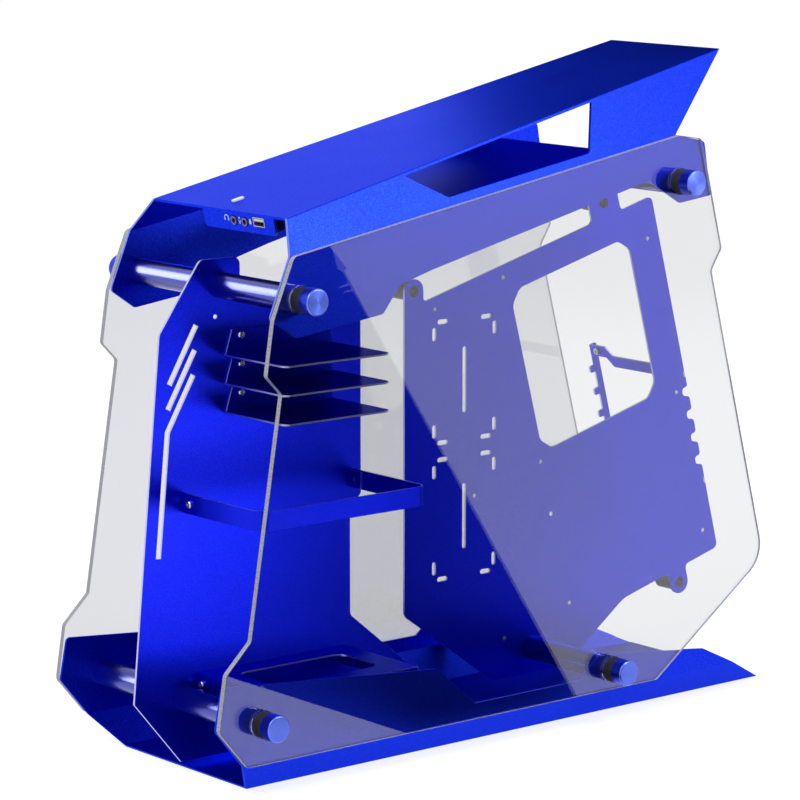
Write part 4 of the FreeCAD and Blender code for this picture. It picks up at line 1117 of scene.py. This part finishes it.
class CASE_OT_middle_plates(bpy.types.Operator):
    """Dress the front plate, the board tray and the handle deck"""

    bl_idname = "case.middle_plates"
    bl_label = "Middle Plates"

    def execute(self, context):
        nodes = ("front_plate", "motherboard_tray", "handle_deck")
        dress_plates(finish_of(context), *nodes)
        return {"FINISHED"}


class CASE_OT_glass_panels(bpy.types.Operator):
    """Dress the two glass panels"""

    bl_idname = "case.glass_panels"
    bl_label = "Glass Panels"

    def execute(self, context):
        for side in SIDES:
            dress_glass(finish_of(context), f"glass_{side}")
        return {"FINISHED"}


class CASE_OT_pillars(bpy.types.Operator):
    """Dress the half pillars on the cross axes"""

    bl_idname = "case.pillars"
    bl_label = "Pillars"

    def execute(self, context):
        material = pillar_material(finish_of(context))
        for node in PILLARS:
            dress_solid(node, material, ARRIS["pillar"])
        return {"FINISHED"}


class CASE_OT_knobs(bpy.types.Operator):
    """Dress the knobs and their rubber bushings"""

    bl_idname = "case.knobs"
    bl_label = "Knobs and Bushings"

    def execute(self, context):
        for side in SIDES:
            for corner in CORNERS:
                dress_knob(finish_of(context), side, corner)
                bushing = f"bushing_{side}_{corner}"
                dress_solid(bushing, rubber_material(), ARRIS["bushing"])
        return {"FINISHED"}


class CASE_OT_shelves(bpy.types.Operator):
    """Dress the drive shelves and the power supply's strap and shelf"""

    bl_idname = "case.shelves"
    bl_label = "Shelves and Strap"

    def execute(self, context):
        shelves = [f"drive_shelf_{number}" for number in (1, 2, 3)]
        dress_plates(finish_of(context), *shelves, "psu_strap", "psu_shelf")
        return {"FINISHED"}


class CASE_OT_card_bracket(bpy.types.Operator):
    """Dress the card bracket"""

    bl_idname = "case.card_bracket"
    bl_label = "Card Bracket"

    def execute(self, context):
        dress_plates(finish_of(context), "card_bracket")
        return {"FINISHED"}


class CASE_OT_screws(bpy.types.Operator):
    """Dress the screws"""

    bl_idname = "case.screws"
    bl_label = "Screws"

    def execute(self, context):
        nodes = ("drive_shelf_screws", "psu_strap_screws", "psu_shelf_screws")
        for node in (*nodes, "card_bracket_screw"):
            dress_screws(context, node)
        return {"FINISHED"}


class CASE_OT_board_fittings(bpy.types.Operator):
    """Dress the standoffs and spacers of the tray"""

    bl_idname = "case.board_fittings"
    bl_label = "Board Fittings"

    def execute(self, context):
        dress_solid("board_standoffs", brass_material(), ARRIS["standoff"])
        dress_solid("tray_spacers", dark_plastic_material(), ARRIS["spacer"])
        return {"FINISHED"}


def dress_jack(number, rim_depth=1.0 * MM, leeway=1.05):
    """Audio socket with a plated rim round its dark bore."""
    node = f"audio_jack_{number}"
    mesh = solid_copy(node)
    local = lip_frame(mount_of(node)[0]).inverted()
    lip_face = (local @ mount_of("usb")[0]).z
    bore = mount_row(node)["dims"]["r_mm"] * MM * leeway
    for face in mesh.faces:
        middle = local @ face.calc_center_median()
        wall = all((local @ vert.co).xy.length < bore for vert in face.verts)
        if middle.z > lip_face - rim_depth and not wall:
            face.material_index = SECOND_FINISH
    bevel_sharp(mesh, ARRIS["jack"])
    piece_from(mesh, node, [dark_plastic_material(), rim_material()])


def dress_usb(half_width=5.5 * MM, foot=0.4 * MM, top=2.4 * MM):
    """Wide port with a plated sleeve and a white tongue, by the tongue's limits."""
    mesh = solid_copy("usb_port")
    local = lip_frame(mount_of("usb")[0]).inverted()
    for face in mesh.faces:
        spots = [local @ vert.co for vert in face.verts]
        if all(abs(spot.x) < half_width and foot < spot.y < top for spot in spots):
            face.material_index = SECOND_FINISH
    bevel_sharp(mesh, ARRIS["port"])
    piece_from(mesh, "usb_port", [steel_material(), white_plastic_material()])


def flat_disc(mesh, place, radius, x, y, segments=24):
    """Flat disc on the lip."""
    bmesh.ops.create_circle(
        mesh,
        cap_ends=True,
        segments=segments,
        radius=radius,
        matrix=place @ Matrix.Translation((x, y, 0.0)),
    )


def flat_block(mesh, place, size, x, y):
    """Flat rectangle on the lip."""
    scale = Matrix.Diagonal((*size, 1.0, 1.0))
    bmesh.ops.create_grid(
        mesh,
        x_segments=1,
        y_segments=1,
        size=0.5,
        matrix=place @ Matrix.Translation((x, y, 0.0)) @ scale,
    )


def flat_arc(mesh, place, inner, outer, start, sweep, steps=20):
    """Flat arc on the lip, by its radii and angles."""
    begin = Matrix.Rotation(start, 4, "Z")
    ends = [
        mesh.verts.new(place @ begin @ Vector((radius, 0.0, 0.0)))
        for radius in (inner, outer)
    ]
    edge = mesh.edges.new(ends)
    bmesh.ops.spin(
        mesh,
        geom=[*ends, edge],
        cent=place.translation,
        axis=place.col[2].xyz,
        dvec=(0.0, 0.0, 0.0),
        angle=sweep,
        steps=steps,
        use_merge=False,
    )


def headphone_symbol(mesh, place):
    """Band with two ear pads."""
    flat_arc(mesh, place, inner=1.9 * MM, outer=2.6 * MM, start=0.0, sweep=math.pi)
    for x in (-2.2 * MM, 2.2 * MM):
        flat_block(mesh, place, size=(1.2 * MM, 1.8 * MM), x=x, y=-0.95 * MM)


def microphone_symbol(mesh, place):
    """Capsule in a cradle on a foot."""
    flat_disc(mesh, place, radius=0.8 * MM, x=0.0, y=1.3 * MM)
    flat_arc(
        mesh, place, inner=1.25 * MM, outer=1.65 * MM, start=math.pi, sweep=math.pi
    )
    flat_block(mesh, place, size=(0.45 * MM, 0.7 * MM), x=0.0, y=-2.05 * MM)
    flat_block(mesh, place, size=(2.0 * MM, 0.45 * MM), x=0.0, y=-2.65 * MM)


def plug_symbol(mesh, place):
    """Plug with a narrow tip."""
    flat_block(mesh, place, size=(2.4 * MM, 2.4 * MM), x=0.0, y=-1.1 * MM)
    flat_block(mesh, place, size=(1.6 * MM, 1.5 * MM), x=0.0, y=0.9 * MM)


def dress_symbols(finish):
    """Port symbols printed on the lip, left of each socket."""
    port, outward = mount_of("usb")
    mesh = bmesh.new()
    for draw, socket, left in (
        (headphone_symbol, "audio_jack_1", 8.9 * MM),
        (microphone_symbol, "audio_jack_2", 6.5 * MM),
        (plug_symbol, "usb", 10.2 * MM),
    ):
        across = mount_of(socket)[0].x - port.x - left
        draw(mesh, lip_frame(port) @ Matrix.Translation((across, 0.0, 0.0)))
    bmesh.ops.recalc_face_normals(mesh, faces=mesh.faces)
    raised = bmesh.ops.extrude_face_region(mesh, geom=mesh.faces[:])
    verts = [item for item in raised["geom"] if isinstance(item, bmesh.types.BMVert)]
    bmesh.ops.translate(mesh, verts=verts, vec=outward * finish.symbol_height)
    bmesh.ops.recalc_face_normals(mesh, faces=mesh.faces)
    data = mesh_data(mesh, "port_symbols")
    place_piece(data, "port_symbols", [white_plastic_material()], "button")


class CASE_OT_sockets(bpy.types.Operator):
    """Dress the sockets, their board and the power button"""

    bl_idname = "case.sockets"
    bl_label = "Sockets and Button"

    def execute(self, context):
        dress_usb()
        for number in (1, 2):
            dress_jack(number)
        dress_symbols(finish_of(context))
        dress_solid("io_board", board_material(), ARRIS["board"])
        dress_solid("power_switch", dark_plastic_material(), ARRIS["switch"])
        white = white_plastic_material()
        dress_solid("power_button", white, ARRIS["button"], "power_button")
        return {"FINISHED"}


# Stage


def seen_rays(tree):
    """Value socket that is 1 for camera, glossy and transmission rays."""
    path = tree.nodes.new("ShaderNodeLightPath").outputs
    seen = combine(tree, "MAXIMUM", path["Is Camera Ray"], path["Is Transmission Ray"])
    return combine(tree, "MAXIMUM", seen, path["Is Glossy Ray"])


def dim_inside(tree, value, share, depth=1.5):
    """Value socket dimmed in gloss that is seen in other gloss, as inside the case."""
    path = tree.nodes.new("ShaderNodeLightPath")
    deep = combine(tree, "GREATER_THAN", path.outputs["Glossy Depth"], depth)
    return combine(tree, "MULTIPLY", value, spread(tree, deep, 1.0, share))


def build_world(context):
    """White surroundings for the camera and in gloss, softer light for the rest."""
    world = bpy.data.worlds.new("Studio")
    context.scene.world = world
    world.use_nodes = True
    tree = world.node_tree
    tree.nodes.clear()
    stage = stage_of(context)
    strength = spread(tree, seen_rays(tree), stage.fill, 1.0)
    strength = dim_inside(tree, strength, stage.inside_share)
    background = add_node(tree, "ShaderNodeBackground", Color=WHITE)
    link(tree, strength, background.inputs["Strength"])
    output = tree.nodes.new("ShaderNodeOutputWorld")
    link(tree, background.outputs["Background"], output.inputs["Surface"])


def stage_object(context, mesh, name, material):
    """Turn a bmesh into an object of the stage."""
    item = bpy.data.objects.new(name, mesh_data(mesh, name))
    item.data.materials.append(material)
    context.scene.collection.objects.link(item)
    return item


def build_floor(context):
    """Pale floor that keeps the shadow and is white where it is lit."""
    stage = stage_of(context)
    mesh = bmesh.new()
    bmesh.ops.create_grid(mesh, x_segments=1, y_segments=1, size=stage.floor_size / 2)
    material, tree, shader = new_material("Pale Floor")
    set_inputs(
        shader, {"Base Color": GREY, "Roughness": 0.8, "Specular IOR Level": 0.1}
    )
    glow = add_node(tree, "ShaderNodeEmission", Color=WHITE)
    strength = spread(tree, seen_rays(tree), 0.0, stage.floor_glow)
    link(tree, dim_inside(tree, strength, stage.inside_share), glow.inputs["Strength"])
    both = tree.nodes.new("ShaderNodeAddShader")
    link(tree, shader.outputs["BSDF"], both.inputs[0])
    link(tree, glow.outputs["Emission"], both.inputs[1])
    link(tree, both.outputs["Shader"], surface_of(tree))
    stage_object(context, mesh, "floor", material)


def build_flag(context, name, corners):
    """Black flag that shows only in gloss, also in gloss behind glass."""
    mesh = bmesh.new()
    mesh.faces.new([mesh.verts.new(corner) for corner in corners])
    material, tree, shader = new_material(name)
    set_inputs(
        shader, {"Base Color": BLACK, "Roughness": 1.0, "Specular IOR Level": 0.0}
    )
    path = tree.nodes.new("ShaderNodeLightPath")
    mirrored = combine(tree, "MINIMUM", path.outputs["Glossy Depth"], 1.0)
    clear = tree.nodes.new("ShaderNodeBsdfTransparent")
    mix_shaders(tree, mirrored, clear, shader)
    flag = stage_object(context, mesh, name, material)
    flag.visible_camera = False
    flag.visible_diffuse = False
    flag.visible_shadow = False


def build_lamp(context, name, place, target, size, power):
    """Soft rectangular lamp that looks at a target."""
    data = bpy.data.lights.new(name, "AREA")
    data.shape = "RECTANGLE"
    data.size, data.size_y = size
    data.energy = power
    lamp = bpy.data.objects.new(name, data)
    context.scene.collection.objects.link(lamp)
    lamp.location = place
    direction = Vector(target) - Vector(place)
    lamp.rotation_mode = "QUATERNION"
    lamp.rotation_quaternion = direction.to_track_quat("-Z", "Y")
    lamp.visible_camera = False
    lamp.visible_transmission = False
    return lamp


def light_only(lamp, nodes):
    """Keep a lamp's light to the pieces of named nodes."""
    lit = bpy.data.collections.new(f"{lamp.name}_pieces")
    for node in nodes:
        lit.objects.link(bpy.data.objects[f"{node}_skin"])
    lamp.light_linking.receiver_collection = lit


def build_camera(context):
    """Camera at the photograph's viewing angle."""
    stage = stage_of(context)
    data = bpy.data.cameras.new("camera")
    data.sensor_width = SENSOR
    data.lens = stage.camera_lens
    data.clip_end = FAR_CLIP
    camera = bpy.data.objects.new("camera", data)
    context.scene.collection.objects.link(camera)
    across, up = stage.camera_azimuth, stage.camera_elevation
    back = Vector(
        (
            math.sin(across) * math.cos(up),
            -math.cos(across) * math.cos(up),
            math.sin(up),
        )
    )
    camera.location = stage.camera_place
    camera.rotation_mode = "QUATERNION"
    camera.rotation_quaternion = (-back).to_track_quat("-Z", "Y")
    context.scene.camera = camera


class CASE_OT_stage(bpy.types.Operator):
    """Build the floor, the light and the camera"""

    bl_idname = "case.stage"
    bl_label = "Stage"

    def execute(self, context):
        stage = stage_of(context)
        context.scene.view_settings.view_transform = "Standard"
        build_world(context)
        build_floor(context)
        for name, corners in FLAGS.items():
            build_flag(context, name, corners)
        for name, (place, target, size, nodes) in LAMPS.items():
            power = getattr(stage, f"{name}_power")
            lamp = build_lamp(context, f"{name}_lamp", place, target, size, power)
            if nodes:
                light_only(lamp, nodes)
        build_camera(context)
        return {"FINISHED"}


STEPS = (
    CASE_OT_folded_shells,
    CASE_OT_middle_plates,
    CASE_OT_glass_panels,
    CASE_OT_pillars,
    CASE_OT_knobs,
    CASE_OT_shelves,
    CASE_OT_card_bracket,
    CASE_OT_screws,
    CASE_OT_board_fittings,
    CASE_OT_sockets,
    CASE_OT_stage,
)


class CASE_PT_panel(bpy.types.Panel):
    """Panel that lists the case's settings and steps."""

    bl_idname = "CASE_PT_panel"
    bl_label = "Open Frame Case"
    bl_space_type = "VIEW_3D"
    bl_region_type = "UI"
    bl_category = "Case"

    def draw(self, context):
        column = self.layout.column()
        for settings in (finish_of(context), stage_of(context)):
            for name in settings.__annotations__:
                column.prop(settings, name)
        for step in STEPS:
            column.operator(step.bl_idname)


CLASSES = (CaseFinish, CaseStage, *STEPS, CASE_PT_panel)


def register():
    """Register the classes and the scene's settings."""
    for item in CLASSES:
        bpy.utils.register_class(item)
    bpy.types.Scene.case_finish = bpy.props.PointerProperty(type=CaseFinish)
    bpy.types.Scene.case_stage = bpy.props.PointerProperty(type=CaseStage)


def unregister():
    """Remove the scene's settings and the classes."""
    del bpy.types.Scene.case_stage
    del bpy.types.Scene.case_finish
    for item in reversed(CLASSES):
        bpy.utils.unregister_class(item)


def main():
    """Dress the whole case and build its stage."""
    register()
    for step in STEPS:
        group, name = step.bl_idname.split(".")
        getattr(getattr(bpy.ops, group), name)()


if __name__ == "__main__":
    main()
